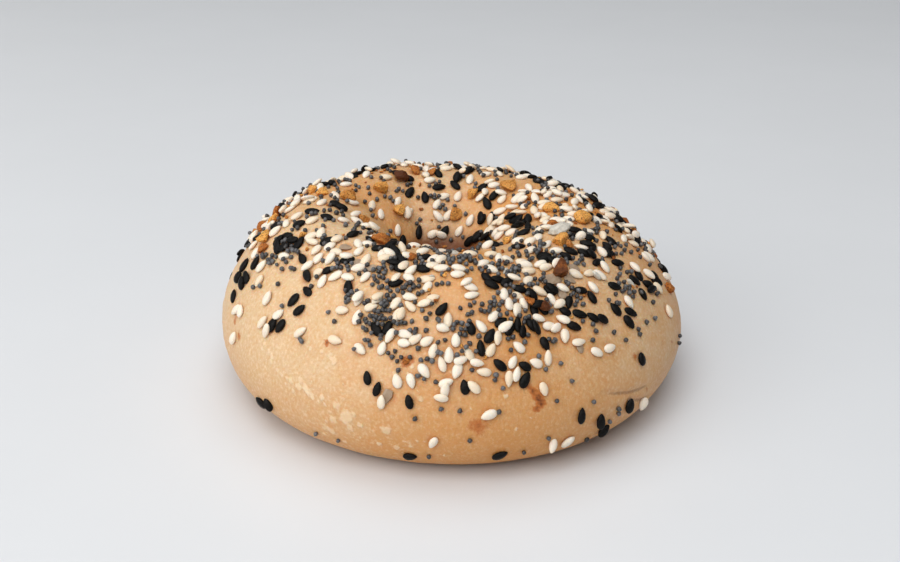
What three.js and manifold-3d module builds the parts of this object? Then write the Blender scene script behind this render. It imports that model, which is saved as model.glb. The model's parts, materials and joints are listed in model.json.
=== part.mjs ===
// A seeded bagel: one ring of boiled and baked dough with sesame seeds, toasted garlic and
// onion flakes and salt crystals baked onto its top. It is a single solid, in millimetres.
// +Z is up. The origin is at the middle of the footprint, on the surface the bagel stands on.
import * as THREE from "three";
import { mergeVertices } from "three/addons/utils/BufferGeometryUtils.js";
import Module from "manifold-3d";

// Driving dimensions of the dough ring.
const BAGEL_RADIUS = 55; // mean radius at the widest line
const WIDEST_HEIGHT = 14.5; // height of the widest line
const CREST_RADIUS = 28; // radius of the highest line
const CREST_HEIGHT = 41;
const HOLE_RADIUS = 7.5; // at the hole's waist
const HOLE_WAIST_HEIGHT = 17.5;
const FOOT_OUTER_RADIUS = 40.5; // the flat ring that the bagel rests on
const FOOT_INNER_RADIUS = 16;

// Roundness of the curves that join those lines: 0.55 is nearly an ellipse, less is flatter.
const SHOULDER_ROUNDNESS = 0.44; // widest line to crest
const FUNNEL_ROUNDNESS = 0.55; // the hole's waist to crest
const UNDERSIDE_ROUNDNESS = 0.59; // widest line to foot
const HOLE_FOOT_ROUNDNESS = 0.55; // the hole's waist to foot

// A hand-rolled ring is uneven: oval, a little three-cornered, and thicker on one side.
const OVAL = { share: 0.019, corners: 2, towards: 39 };
const THREE_CORNERED = { share: 0.014, corners: 3, towards: 48 };
const THICKER_SIDE = { share: 0.08, towards: 168 };
const HOLE_SHIFT = new THREE.Vector2(-4, 0);
const LUMPS = [
  { height: 0.55, aroundCount: 5, acrossCount: 1, phase: 0.6 },
  { height: 0.4, aroundCount: 9, acrossCount: 2, phase: 2.1 },
  { height: 0.22, aroundCount: 16, acrossCount: 3, phase: 4.4 },
];

// Mesh density of the dough.
const AROUND = 54;
const SHOULDER_STEPS = 9;
const FUNNEL_STEPS = 7;
const HOLE_FOOT_STEPS = 4;
const UNDERSIDE_STEPS = 6;

// Toppings, each as [length, width, thickness].
const SESAME_SIZE = [3.3, 2, 1.05];
const FLAKE_SIZE = [4.4, 3.2, 1.9];
const SALT_SIZE = [2.8, 2.1, 1.1];
const SESAME_RINGS = [
  [0, -0.5],
  [0.46, -0.2],
  [0.44, 0.14],
  [0, 0.5],
]; // half width and position along the seed, as shares of its width and length
const SESAME_SIDES = 6;
const CRUMB_RADIUS = 0.55; // of a flake's icosahedron, as a share of its size
const CRUMB_ROUGHNESS = 0.2; // how far its corners are pulled in or out
const SALT_EDGE = 0.86; // of a crystal's box, as a share of its size
const SUNK_SHARE = 0.18; // how far a topping sinks into the crust, of its thickness
const SIZE_SPREAD = 0.14;

// Where the toppings lie: an even spiral over the top, seen from above.
const TOPPING_INNER_RADIUS = 12.5;
const TOPPING_OUTER_RADIUS = 51.5;
const TOPPING_COUNT = 240;
const FLAKE_EVERY = 7;
const SALT_EVERY = 19;
const BARE_PATCH = { towards: -130, halfWidth: 27, fromRadius: 39.5 };
const JITTER = 1.1;
const RANDOM_SEED = 11;
const GOLDEN_ANGLE = Math.PI * (3 - Math.sqrt(5));

const SLOPE_STEP = 0.5; // distance over which the crust's slope under a topping is measured
const MERGE_DISTANCE = 1e-4;
const HALVINGS = 24; // steps of the search for the crust's height at a radius

const { degToRad, lerp, smoothstep, seededRandom } = THREE.MathUtils;
const spread = (share) => 1 + share * (2 * seededRandom() - 1);

// One quarter of the cross-section, from where it runs upright to where it is level.
function quarter(upright, level, roundness) {
  return new THREE.CubicBezierCurve(
    upright,
    new THREE.Vector2(upright.x, lerp(upright.y, level.y, roundness)),
    new THREE.Vector2(lerp(level.x, upright.x, roundness), level.y),
    level,
  );
}

// The cross-section of an even ring, as radius and height.
const widest = new THREE.Vector2(BAGEL_RADIUS, WIDEST_HEIGHT);
const crest = new THREE.Vector2(CREST_RADIUS, CREST_HEIGHT);
const waist = new THREE.Vector2(HOLE_RADIUS, HOLE_WAIST_HEIGHT);
const shoulder = quarter(widest, crest, SHOULDER_ROUNDNESS);
const funnel = quarter(waist, crest, FUNNEL_ROUNDNESS);
const underside = quarter(widest, new THREE.Vector2(FOOT_OUTER_RADIUS, 0), UNDERSIDE_ROUNDNESS);
const holeFoot = quarter(waist, new THREE.Vector2(FOOT_INNER_RADIUS, 0), HOLE_FOOT_ROUNDNESS);

// The closed section, from the outer foot up over the crest, down the hole and back along the foot.
function doughSection() {
  const outside = [
    ...underside.getPoints(UNDERSIDE_STEPS).reverse(),
    ...shoulder.getPoints(SHOULDER_STEPS).slice(1),
  ];
  const inside = [
    ...funnel.getPoints(FUNNEL_STEPS).reverse().slice(1),
    ...holeFoot.getPoints(HOLE_FOOT_STEPS).slice(1),
  ];
  return [...outside, ...inside, outside[0]];
}

// Height of an even ring's top at a radius between the hole's waist and the widest line.
function topHeight(radius) {
  const curve = radius > CREST_RADIUS ? shoulder : funnel;
  let low = 0;
  let high = 1;
  for (let i = 0; i < HALVINGS; i++) {
    const middle = (low + high) / 2;
    const beyond = Math.abs(curve.getPoint(middle).x - CREST_RADIUS) > Math.abs(radius - CREST_RADIUS);
    if (beyond) low = middle;
    else high = middle;
  }
  return curve.getPoint(low).y;
}

// Share by which a wave with that many corners makes the ring wider in one direction.
function wave({ share, corners, towards }, angle) {
  return share * Math.cos(corners * (angle - degToRad(towards)));
}

// Takes a point of the even ring to the uneven, hand-rolled one. The foot stays flat.
function unevenPoint(angle, radius, height) {
  const wider = 1 + wave(OVAL, angle) + wave(THREE_CORNERED, angle);
  const nearHole = 1 - smoothstep(radius, HOLE_RADIUS, BAGEL_RADIUS);
  const x = radius * wider * Math.cos(angle) + HOLE_SHIFT.x * nearHole;
  const y = radius * wider * Math.sin(angle) + HOLE_SHIFT.y * nearHole;
  const side = degToRad(THICKER_SIDE.towards);
  const towardsThick = (x * Math.cos(side) + y * Math.sin(side)) / BAGEL_RADIUS;
  const offFoot = smoothstep(height, 0, WIDEST_HEIGHT);
  const across = (radius - HOLE_RADIUS) / (BAGEL_RADIUS - HOLE_RADIUS);
  const lump = LUMPS.reduce(
    (sum, { height: rise, aroundCount, acrossCount, phase }) =>
      sum + rise * Math.sin(aroundCount * angle + phase) * Math.cos(Math.PI * acrossCount * across + phase),
    0,
  );
  return new THREE.Vector3(
    x,
    y,
    height * (1 + THICKER_SIDE.share * towardsThick) + lump * offFoot,
  );
}

function doughGeometry() {
  const geometry = new THREE.LatheGeometry(doughSection(), AROUND);
  geometry.rotateX(Math.PI / 2);
  const position = geometry.getAttribute("position");
  for (let i = 0; i < position.count; i++) {
    const angle = Math.atan2(position.getY(i), position.getX(i));
    const radius = Math.hypot(position.getX(i), position.getY(i));
    const point = unevenPoint(angle, radius, position.getZ(i));
    position.setXYZ(i, point.x, point.y, point.z);
  }
  return geometry;
}

// The middle of the dough's footprint, which becomes the origin.
function footprintMiddle(geometry) {
  geometry.computeBoundingBox();
  const middle = geometry.boundingBox.getCenter(new THREE.Vector3());
  return middle.setZ(0);
}

function sesameGeometry() {
  const rings = SESAME_RINGS.map(([half, along]) => new THREE.Vector2(half, along));
  return new THREE.LatheGeometry(rings, SESAME_SIDES);
}

// A broken, faceted crumb: an icosahedron whose corners are pulled in or out at random.
function crumbGeometry() {
  const geometry = mergeVertices(positionsOnly(new THREE.IcosahedronGeometry(CRUMB_RADIUS)));
  const position = geometry.getAttribute("position");
  for (let i = 0; i < position.count; i++) {
    const pull = spread(CRUMB_ROUGHNESS);
    position.setXYZ(i, position.getX(i) * pull, position.getY(i) * pull, position.getZ(i) * pull);
  }
  return geometry;
}

function saltGeometry() {
  return new THREE.BoxGeometry(SALT_EDGE, SALT_EDGE, SALT_EDGE);
}

function positionsOnly(geometry) {
  geometry.deleteAttribute("normal");
  geometry.deleteAttribute("uv");
  return geometry;
}

// Lies a topping on the crust at a place on the even ring, turned by turn about the crust's normal.
function toppingMatrix(angle, radius, turn, size) {
  const at = (a, r) => unevenPoint(a, r, topHeight(r));
  const place = at(angle, radius);
  const turned = SLOPE_STEP / radius;
  const around = at(angle + turned, radius).sub(at(angle - turned, radius));
  const outward = at(angle, radius + SLOPE_STEP).sub(at(angle, radius - SLOPE_STEP));
  const normal = new THREE.Vector3().crossVectors(outward, around).normalize();
  const along = around.normalize().applyAxisAngle(normal, turn);
  const across = new THREE.Vector3().crossVectors(along, normal);
  const [length, width, thickness] = size;
  const centre = place.addScaledVector(normal, thickness * (0.5 - SUNK_SHARE));
  return new THREE.Matrix4()
    .makeBasis(across, along, normal)
    .scale(new THREE.Vector3(width, length, thickness))
    .setPosition(centre);
}

// Radius out to which the toppings lie in one direction. Low on one side they missed a patch.
function toppingReach(angle) {
  const from = angle - degToRad(BARE_PATCH.towards);
  const away = Math.abs(Math.atan2(Math.sin(from), Math.cos(from)));
  const inPatch = 1 - smoothstep(away, 0, degToRad(BARE_PATCH.halfWidth));
  return lerp(TOPPING_OUTER_RADIUS, BARE_PATCH.fromRadius, inPatch);
}

function toppingGeometries() {
  seededRandom(RANDOM_SEED);
  const toppings = [];
  for (let i = 0; i < TOPPING_COUNT; i++) {
    const share = (i + 0.5) / TOPPING_COUNT;
    const even = Math.sqrt(lerp(TOPPING_INNER_RADIUS ** 2, TOPPING_OUTER_RADIUS ** 2, share));
    const radius = even + JITTER * (seededRandom() - 0.5);
    const angle = i * GOLDEN_ANGLE + (JITTER * (seededRandom() - 0.5)) / radius;
    const turn = Math.PI * seededRandom();
    const grow = spread(SIZE_SPREAD);
    if (radius > toppingReach(angle)) continue;
    const isFlake = i % FLAKE_EVERY === 0;
    const isSalt = !isFlake && i % SALT_EVERY === 0;
    const size = (isFlake ? FLAKE_SIZE : isSalt ? SALT_SIZE : SESAME_SIZE).map((s) => s * grow);
    const geometry = isFlake ? crumbGeometry() : isSalt ? saltGeometry() : sesameGeometry();
    toppings.push(geometry.applyMatrix4(toppingMatrix(angle, radius, turn, size)));
  }
  return toppings;
}

const wasm = await Module();
wasm.setup();

function toSolid(geometry) {
  const merged = mergeVertices(positionsOnly(geometry), MERGE_DISTANCE);
  return new wasm.Manifold(new wasm.Mesh({
    numProp: 3,
    vertProperties: new Float32Array(merged.getAttribute("position").array),
    triVerts: new Uint32Array(merged.index.array),
  }));
}

function toGeometry(solid) {
  const mesh = solid.getMesh();
  return new THREE.BufferGeometry()
    .setAttribute("position", new THREE.BufferAttribute(mesh.vertProperties, 3))
    .setIndex(new THREE.BufferAttribute(mesh.triVerts, 1));
}

// The largest body of a solid: fusing can leave a loose scrap, which is dropped.
function largestBody(solid) {
  return solid.decompose().reduce((most, body) => (body.volume() > most.volume() ? body : most));
}

function bagelGeometry() {
  const dough = doughGeometry();
  const middle = footprintMiddle(dough);
  const fused = toppingGeometries().reduce(
    (solid, topping) => solid.add(toSolid(topping)),
    toSolid(dough),
  );
  const geometry = toGeometry(largestBody(fused));
  geometry.translate(-middle.x, -middle.y, 0);
  geometry.computeVertexNormals();
  return geometry;
}

const crust = new THREE.MeshStandardMaterial({ color: 0xd9a468, roughness: 0.55, metalness: 0 });

const bagel = new THREE.Mesh(bagelGeometry(), crust);
bagel.name = "bagel";

const group = new THREE.Group();
group.add(bagel);

export default group;
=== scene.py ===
"""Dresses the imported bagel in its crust, seeds, flakes, onion, salt and crumbs, on a plain stage."""

import functools
import json
import math
import random

import bmesh
import bpy
import numpy as np
from bpy.props import FloatProperty, FloatVectorProperty, IntProperty, PointerProperty
from mathutils import Matrix, Vector
from mathutils.bvhtree import BVHTree
from mathutils.kdtree import KDTree

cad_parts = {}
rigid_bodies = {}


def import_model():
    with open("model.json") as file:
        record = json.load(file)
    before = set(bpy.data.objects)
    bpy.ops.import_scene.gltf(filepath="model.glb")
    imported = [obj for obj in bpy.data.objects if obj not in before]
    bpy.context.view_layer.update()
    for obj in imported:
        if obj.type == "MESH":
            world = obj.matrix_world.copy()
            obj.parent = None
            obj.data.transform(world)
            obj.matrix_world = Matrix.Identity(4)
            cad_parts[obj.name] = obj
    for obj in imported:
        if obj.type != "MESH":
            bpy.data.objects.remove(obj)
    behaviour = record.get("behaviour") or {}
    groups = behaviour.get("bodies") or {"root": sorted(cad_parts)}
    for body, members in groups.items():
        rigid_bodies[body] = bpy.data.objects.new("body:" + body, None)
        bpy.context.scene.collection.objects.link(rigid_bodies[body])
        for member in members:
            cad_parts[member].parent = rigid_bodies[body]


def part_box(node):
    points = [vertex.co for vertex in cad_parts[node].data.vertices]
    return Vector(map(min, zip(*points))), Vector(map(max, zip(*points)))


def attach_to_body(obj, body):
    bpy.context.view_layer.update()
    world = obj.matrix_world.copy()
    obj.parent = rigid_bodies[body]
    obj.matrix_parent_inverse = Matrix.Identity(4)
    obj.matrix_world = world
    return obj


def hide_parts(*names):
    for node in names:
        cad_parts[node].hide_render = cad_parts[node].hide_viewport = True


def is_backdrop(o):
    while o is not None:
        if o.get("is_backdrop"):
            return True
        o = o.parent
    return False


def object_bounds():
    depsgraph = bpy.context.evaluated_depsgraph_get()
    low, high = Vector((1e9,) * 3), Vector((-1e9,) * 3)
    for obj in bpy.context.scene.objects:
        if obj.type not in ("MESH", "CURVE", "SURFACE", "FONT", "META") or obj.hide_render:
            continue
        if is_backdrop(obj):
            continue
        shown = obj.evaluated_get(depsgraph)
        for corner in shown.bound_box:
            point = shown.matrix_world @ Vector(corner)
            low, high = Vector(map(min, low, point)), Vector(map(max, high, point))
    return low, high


bl_info = {
    "name": "Seeded Bagel",
    "version": (1, 0, 0),
    "blender": (4, 5, 0),
    "location": "3D View > Sidebar > Bagel",
    "description": "Makes the crust and toppings of a seeded bagel round its packed frame",
    "category": "Object",
}

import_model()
CAD_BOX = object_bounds()
NODE = "bagel"
NODE_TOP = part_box(NODE)[1][2]

MM = 0.001
UP = Vector((0, 0, 1))
RANDOM_SEED = 7


# ---------------------------------------------------------------------------------------------
# Sizes and colours that a user may change.


def length(name, description, default):
    return FloatProperty(
        name=name, description=description, default=default, min=0, precision=5, unit="LENGTH"
    )


def colour(name, description, default):
    return FloatVectorProperty(
        name=name, description=description, default=default, size=3, min=0, max=1, subtype="COLOR"
    )


def count(name, description, default):
    return IntProperty(name=name, description=description, default=default, min=0)


def power(name, description, default):
    return FloatProperty(name=name, description=description, default=default, min=0, unit="POWER")


class BagelDough(bpy.types.PropertyGroup):
    """The even ring, before it is made uneven."""

    radius: length("Radius", "From the middle to the widest line", 55 * MM)
    widest_height: length("Widest height", "Height of the widest line", 14.5 * MM)
    crest_radius: length("Crest radius", "From the middle to the highest line", 28 * MM)
    crest_height: length("Crest height", "Height of the highest line", 41 * MM)
    hole_radius: length("Hole radius", "Of the hole at its waist", 7.5 * MM)
    waist_height: length("Waist height", "Height of the hole's waist", 17.5 * MM)
    foot_outer_radius: length("Foot outer radius", "Outer edge of the flat foot", 40.5 * MM)
    foot_inner_radius: length("Foot inner radius", "Inner edge of the flat foot", 16 * MM)
    around: count("Steps around", "Faces round the ring", 440)
    across: count("Steps across", "Faces round its section", 220)


class BagelCrust(bpy.types.PropertyGroup):
    """The baked skin of the dough."""

    golden: colour("Golden", "Most of the crust", (0.63, 0.345, 0.145))
    deep: colour("Deep golden", "Where it baked longer", (0.61, 0.26, 0.055))
    # Pale is a paler tone of the crust, and also painted sheen on its front sides.
    pale: colour("Pale", "Where it baked less", (0.66, 0.46, 0.265))
    # Toasted colours the rings round the seeds, which are toasted skin and partly painted contact
    # shadow, and the edges of stains.
    toasted: colour("Toasted", "Rings round the seeds", (0.48, 0.15, 0.028))
    # Burnt colours the middles of stains, and is also painted shade deep in the hole and along the
    # folds.
    burnt_and_shade: colour("Burnt", "Small dark spots", (0.17, 0.045, 0.008))
    blister: colour("Blister", "Flat blisters of the boiled skin", (0.79, 0.61, 0.4))
    underside: colour("Underside", "The foot that stood on the tray", (0.5, 0.25, 0.085))
    swell_size: length("Swell size", "Between the broad swells", 11 * MM)
    swell_height: length("Swell height", "Of the broad swells", 0.22 * MM)
    pucker_size: length("Pucker size", "Between the small puckers", 2.2 * MM)
    pucker_height: length("Pucker height", "Of the small puckers", 0.08 * MM)
    blister_height: length("Blister height", "By which a blister stands up", 0.12 * MM)
    dimple_depth: length("Dimple depth", "By which a seed presses the skin in", 0.2 * MM)
    crease_depth: length("Crease depth", "Of the fold low on one side", 0.5 * MM)


class BagelToppings(bpy.types.PropertyGroup):
    """Seeds, flakes, onion, salt and crumbs."""

    sesame_length: length("Sesame length", "Of an ordinary seed", 3.2 * MM)
    poppy_length: length("Poppy length", "Of an ordinary seed", 1.2 * MM)
    flake_length: length("Flake length", "Of an ordinary toasted flake", 3.4 * MM)
    onion_length: length("Onion length", "Of an ordinary translucent piece", 2.8 * MM)
    salt_length: length("Salt length", "Of an ordinary crystal", 2.4 * MM)
    crumb_length: length("Crumb length", "Of an ordinary crumb", 0.95 * MM)
    coat: count("Coat", "Large pieces strewn by chance", 900)
    fines: count("Fines", "Poppy seeds and crumbs strewn by chance", 880)
    strays: count("Strays", "Loose seeds below the strewn part", 60)
    white: colour("White sesame", "A hulled seed", (0.83, 0.75, 0.64))
    toasted_white: colour("Toasted sesame", "A seed that browned a little", (0.78, 0.61, 0.41))
    black: colour("Black sesame", "A black seed", (0.003, 0.0026, 0.0026))
    worn_black: colour("Worn black", "Ridges of a black seed", (0.01, 0.009, 0.008))
    poppy: colour("Poppy", "A slate poppy seed", (0.15, 0.148, 0.152))
    dark_poppy: colour("Dark poppy", "A brown-black poppy seed", (0.022, 0.018, 0.016))
    flake: colour("Golden flake", "A lightly toasted flake", (0.78, 0.38, 0.09))
    brown_flake: colour("Brown flake", "A flake that browned through", (0.42, 0.13, 0.022))
    dark_flake: colour("Dark flake", "A flake that browned hard", (0.1, 0.027, 0.006))
    flake_pit: colour("Flake pit", "Pits in a flake", (0.06, 0.02, 0.006))
    onion: colour("Onion", "A dried translucent piece", (0.42, 0.28, 0.17))
    pale_onion: colour("Pale onion", "Its thin places", (0.56, 0.43, 0.31))
    salt: colour("Salt", "A coarse crystal", (0.58, 0.55, 0.47))
    clear_salt: colour("Clear salt", "Its brighter places", (0.8, 0.76, 0.67))


class BagelStage(bpy.types.PropertyGroup):
    """Camera, floor and lights."""

    target: FloatVectorProperty(
        name="Target", description="Where the camera looks", size=3, subtype="TRANSLATION",
        unit="LENGTH", precision=5, default=(-0.8 * MM, 1.5 * MM, 22.4 * MM),
    )
    distance: length("Distance", "From the camera to its target", 302 * MM)
    azimuth: FloatProperty(
        name="Azimuth", description="Of the camera, from the front towards the right",
        default=math.radians(0.29), subtype="ANGLE",
    )
    elevation: FloatProperty(
        name="Elevation", description="Of the camera above level",
        default=math.radians(24.03), subtype="ANGLE",
    )
    focal_length: FloatProperty(
        name="Focal length", description="Of the camera's lens", default=50, min=1, unit="CAMERA"
    )
    floor: colour("Floor", "A plain pale floor", (0.7, 0.715, 0.735))
    sky: colour("Sky", "Soft light from all round", (0.93, 0.965, 1.0))
    sky_strength: FloatProperty(
        name="Sky strength", description="Of the light from all round", default=0.15, min=0
    )
    key: colour("Key light", "Daylight from the left", (1.0, 0.985, 0.96))
    key_power: power("Key power", "Of the daylight from the left", 6.0)
    rim_power: power("Rim power", "Of the daylight from behind on the left", 1.0)
    fill_power: power("Fill power", "Of the soft light over the camera", 10.6)
    top_power: power("Top power", "Of the soft light over the bagel", 7.4)


class BagelSettings(bpy.types.PropertyGroup):
    """All of the bagel's sizes and colours."""

    dough: PointerProperty(type=BagelDough)
    crust: PointerProperty(type=BagelCrust)
    toppings: PointerProperty(type=BagelToppings)
    stage: PointerProperty(type=BagelStage)


# ---------------------------------------------------------------------------------------------
# The ring of dough: the solid's own form, so that the crust stays where the solid is.

SHOULDER_ROUNDNESS = 0.44
FUNNEL_ROUNDNESS = 0.55
UNDERSIDE_ROUNDNESS = 0.59
HOLE_FOOT_ROUNDNESS = 0.55
OVAL = (0.019, 2, 39)  # share by which it is wider, corners, and one corner's direction, degrees
THREE_CORNERED = (0.014, 3, 48)
THICKER_SIDE = (0.08, 168)  # share, and direction in degrees
HOLE_SHIFT = -4 * MM  # along X
LUMPS = (  # height, waves around, waves across, phase
    (0.55 * MM, 5, 1, 0.6),
    (0.4 * MM, 9, 2, 2.1),
    (0.22 * MM, 16, 3, 4.4),
)
SECTION_STEPS = 120


def lerp(a, b, way):
    return a + (b - a) * way


def smoothstep(value, low, high):
    way = np.clip((value - low) / (high - low), 0, 1)
    return way * way * (3 - 2 * way)


def hump(value, half_width):
    """1 where the value is 0, falling smoothly to 0 at half_width either side."""
    return 1 - smoothstep(np.abs(value), 0, half_width)


def on_side(angle, towards, half_width):
    """1 where an angle in radians is in a direction, falling to 0 at half_width, both in degrees."""
    return hump((np.degrees(angle) - towards + 180) % 360 - 180, half_width)


def angle_behind(draw, past):
    """An angle round the back, or up to some degrees past either end of it."""
    return draw.uniform(math.radians(-past), math.radians(180 + past))


def quarter(upright, level, roundness):
    """One quarter of the section, from where it runs upright to where it is level."""
    t = np.linspace(0, 1, SECTION_STEPS + 1)
    handles = (
        upright,
        (upright[0], lerp(upright[1], level[1], roundness)),
        (lerp(level[0], upright[0], roundness), level[1]),
        level,
    )
    weights = ((1 - t) ** 3, 3 * (1 - t) ** 2 * t, 3 * (1 - t) * t**2, t**3)
    return sum(np.outer(weight, handle) for weight, handle in zip(weights, handles))


class Ring:
    """The ring of dough. A place on it is an angle round it, and a distance outward from the
    crest along its section, which is negative on the way down into the hole."""

    def __init__(self, dough):
        widest = (dough.radius, dough.widest_height)
        crest = (dough.crest_radius, dough.crest_height)
        waist = (dough.hole_radius, dough.waist_height)
        self.radius, self.hole_radius = dough.radius, dough.hole_radius
        self.widest_height = dough.widest_height
        hole_foot = quarter(waist, (dough.foot_inner_radius, 0), HOLE_FOOT_ROUNDNESS)[::-1]
        funnel = quarter(waist, crest, FUNNEL_ROUNDNESS)
        shoulder = quarter(widest, crest, SHOULDER_ROUNDNESS)[::-1]
        underside = quarter(widest, (dough.foot_outer_radius, 0), UNDERSIDE_ROUNDNESS)
        line = np.vstack([hole_foot, funnel[1:], shoulder[1:], underside[1:], hole_foot[:1]])
        along = np.concatenate([[0], np.cumsum(np.hypot(*np.diff(line, axis=0).T))])
        self.line = line
        # The second quarter ends at the crest, and the third at the widest line.
        self.outward = along - along[2 * SECTION_STEPS]
        self.widest = self.outward[3 * SECTION_STEPS]
        self.middle = np.zeros(3)
        points = self.points(*self.grid(dough.around, dough.across))
        self.middle[:2] = (points.min(axis=0) + points.max(axis=0))[:2] / 2

    def grid(self, around, across):
        """Angles and distances outward of a grid that covers the ring."""
        angles = np.linspace(0, 2 * math.pi, around, endpoint=False)
        outwards = np.linspace(self.outward[0], self.outward[-1], across, endpoint=False)
        return [each.ravel() for each in np.meshgrid(angles, outwards, indexing="ij")]

    def radius_at(self, outward):
        return np.interp(outward, self.outward, self.line[:, 0])

    def points(self, angle, outward):
        """Places on the hand-rolled ring. Its foot stays flat."""
        radius = self.radius_at(outward)
        height = np.interp(outward, self.outward, self.line[:, 1])
        wider = 1.0
        for widening, corners, towards in (OVAL, THREE_CORNERED):
            wider = wider + widening * np.cos(corners * (angle - math.radians(towards)))
        near_hole = 1 - smoothstep(radius, self.hole_radius, self.radius)
        x = radius * wider * np.cos(angle) + HOLE_SHIFT * near_hole
        y = radius * wider * np.sin(angle)
        thickening, towards = THICKER_SIDE
        side = math.radians(towards)
        towards_thick = (x * math.cos(side) + y * math.sin(side)) / self.radius
        off_foot = smoothstep(height, 0, self.widest_height)
        across = (radius - self.hole_radius) / (self.radius - self.hole_radius)
        lump = sum(
            rise * np.sin(around * angle + phase) * np.cos(math.pi * waves * across + phase)
            for rise, around, waves, phase in LUMPS
        )
        z = height * (1 + thickening * towards_thick) + lump * off_foot
        return np.stack([x, y, z], axis=-1) - self.middle


def ring_faces(around, across):
    """Quads of a grid that closes on itself both ways, facing out."""
    i, j = np.meshgrid(np.arange(around), np.arange(across), indexing="ij")
    next_i, next_j = (i + 1) % around, (j + 1) % across
    corners = (i * across + j, i * across + next_j, next_i * across + next_j, next_i * across + j)
    return np.stack(corners, axis=-1).reshape(-1, 4).tolist()


# ---------------------------------------------------------------------------------------------
# The camera. Listed pieces have their places in its view: pixels across and down a frame
# of FRAME_SIZE, and turns in degrees from the right of the frame towards its top.

FRAME_SIZE = (900, 562)
SENSOR_WIDTH = 36  # millimetres
MIDDLE_IN_VIEW = Vector((456, 310))
FARTHEST_OUTSIDE = 40  # pixels by which a place may lie outside the crust's outline


class Eye:
    """Looks from the camera at the crust."""

    def __init__(self, stage, surface=None):
        turn, rise = stage.azimuth, stage.elevation
        level = math.cos(rise)
        self.back = Vector((math.sin(turn) * level, -math.cos(turn) * level, math.sin(rise)))
        self.right = UP.cross(self.back).normalized()
        self.up = self.back.cross(self.right)
        self.place = Vector(stage.target) + self.back * stage.distance
        self.pixels = stage.focal_length / SENSOR_WIDTH * FRAME_SIZE[0]
        self.surface = surface

    def hit(self, pixel, lift=0.0):
        """The crust's point and normal for a piece whose middle, lift above it, is at a pixel.

        Just beside the outline, it is the nearest place that the crust reaches."""
        pixel = Vector(pixel)
        for _ in range(FARTHEST_OUTSIDE):
            across = (pixel.x - FRAME_SIZE[0] / 2) / self.pixels
            above = (FRAME_SIZE[1] / 2 - pixel.y) / self.pixels
            ray = (self.right * across + self.up * above - self.back).normalized()
            found, normal, _, _ = self.surface.ray_cast(self.place, ray)
            if found is not None:
                lifted, turned, _, _ = self.surface.ray_cast(self.place - normal * lift, ray)
                return (found, normal) if lifted is None else (lifted, turned)
            pixel += (MIDDLE_IN_VIEW - pixel).normalized()
        raise RuntimeError(f"no crust near pixel {tuple(pixel)}")

    def pixel(self, point):
        """Where a point is in the view, as pixels across and down."""
        offset = Vector(point) - self.place
        depth = -offset.dot(self.back)
        across = offset.dot(self.right) / depth * self.pixels
        above = offset.dot(self.up) / depth * self.pixels
        return FRAME_SIZE[0] / 2 + across, FRAME_SIZE[1] / 2 - above

    def along(self, turn, normal):
        """The direction on the surface that is seen at that turn."""
        seen = self.right * math.cos(math.radians(turn)) + self.up * math.sin(math.radians(turn))
        return (seen - normal * seen.dot(normal)).normalized()


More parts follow.
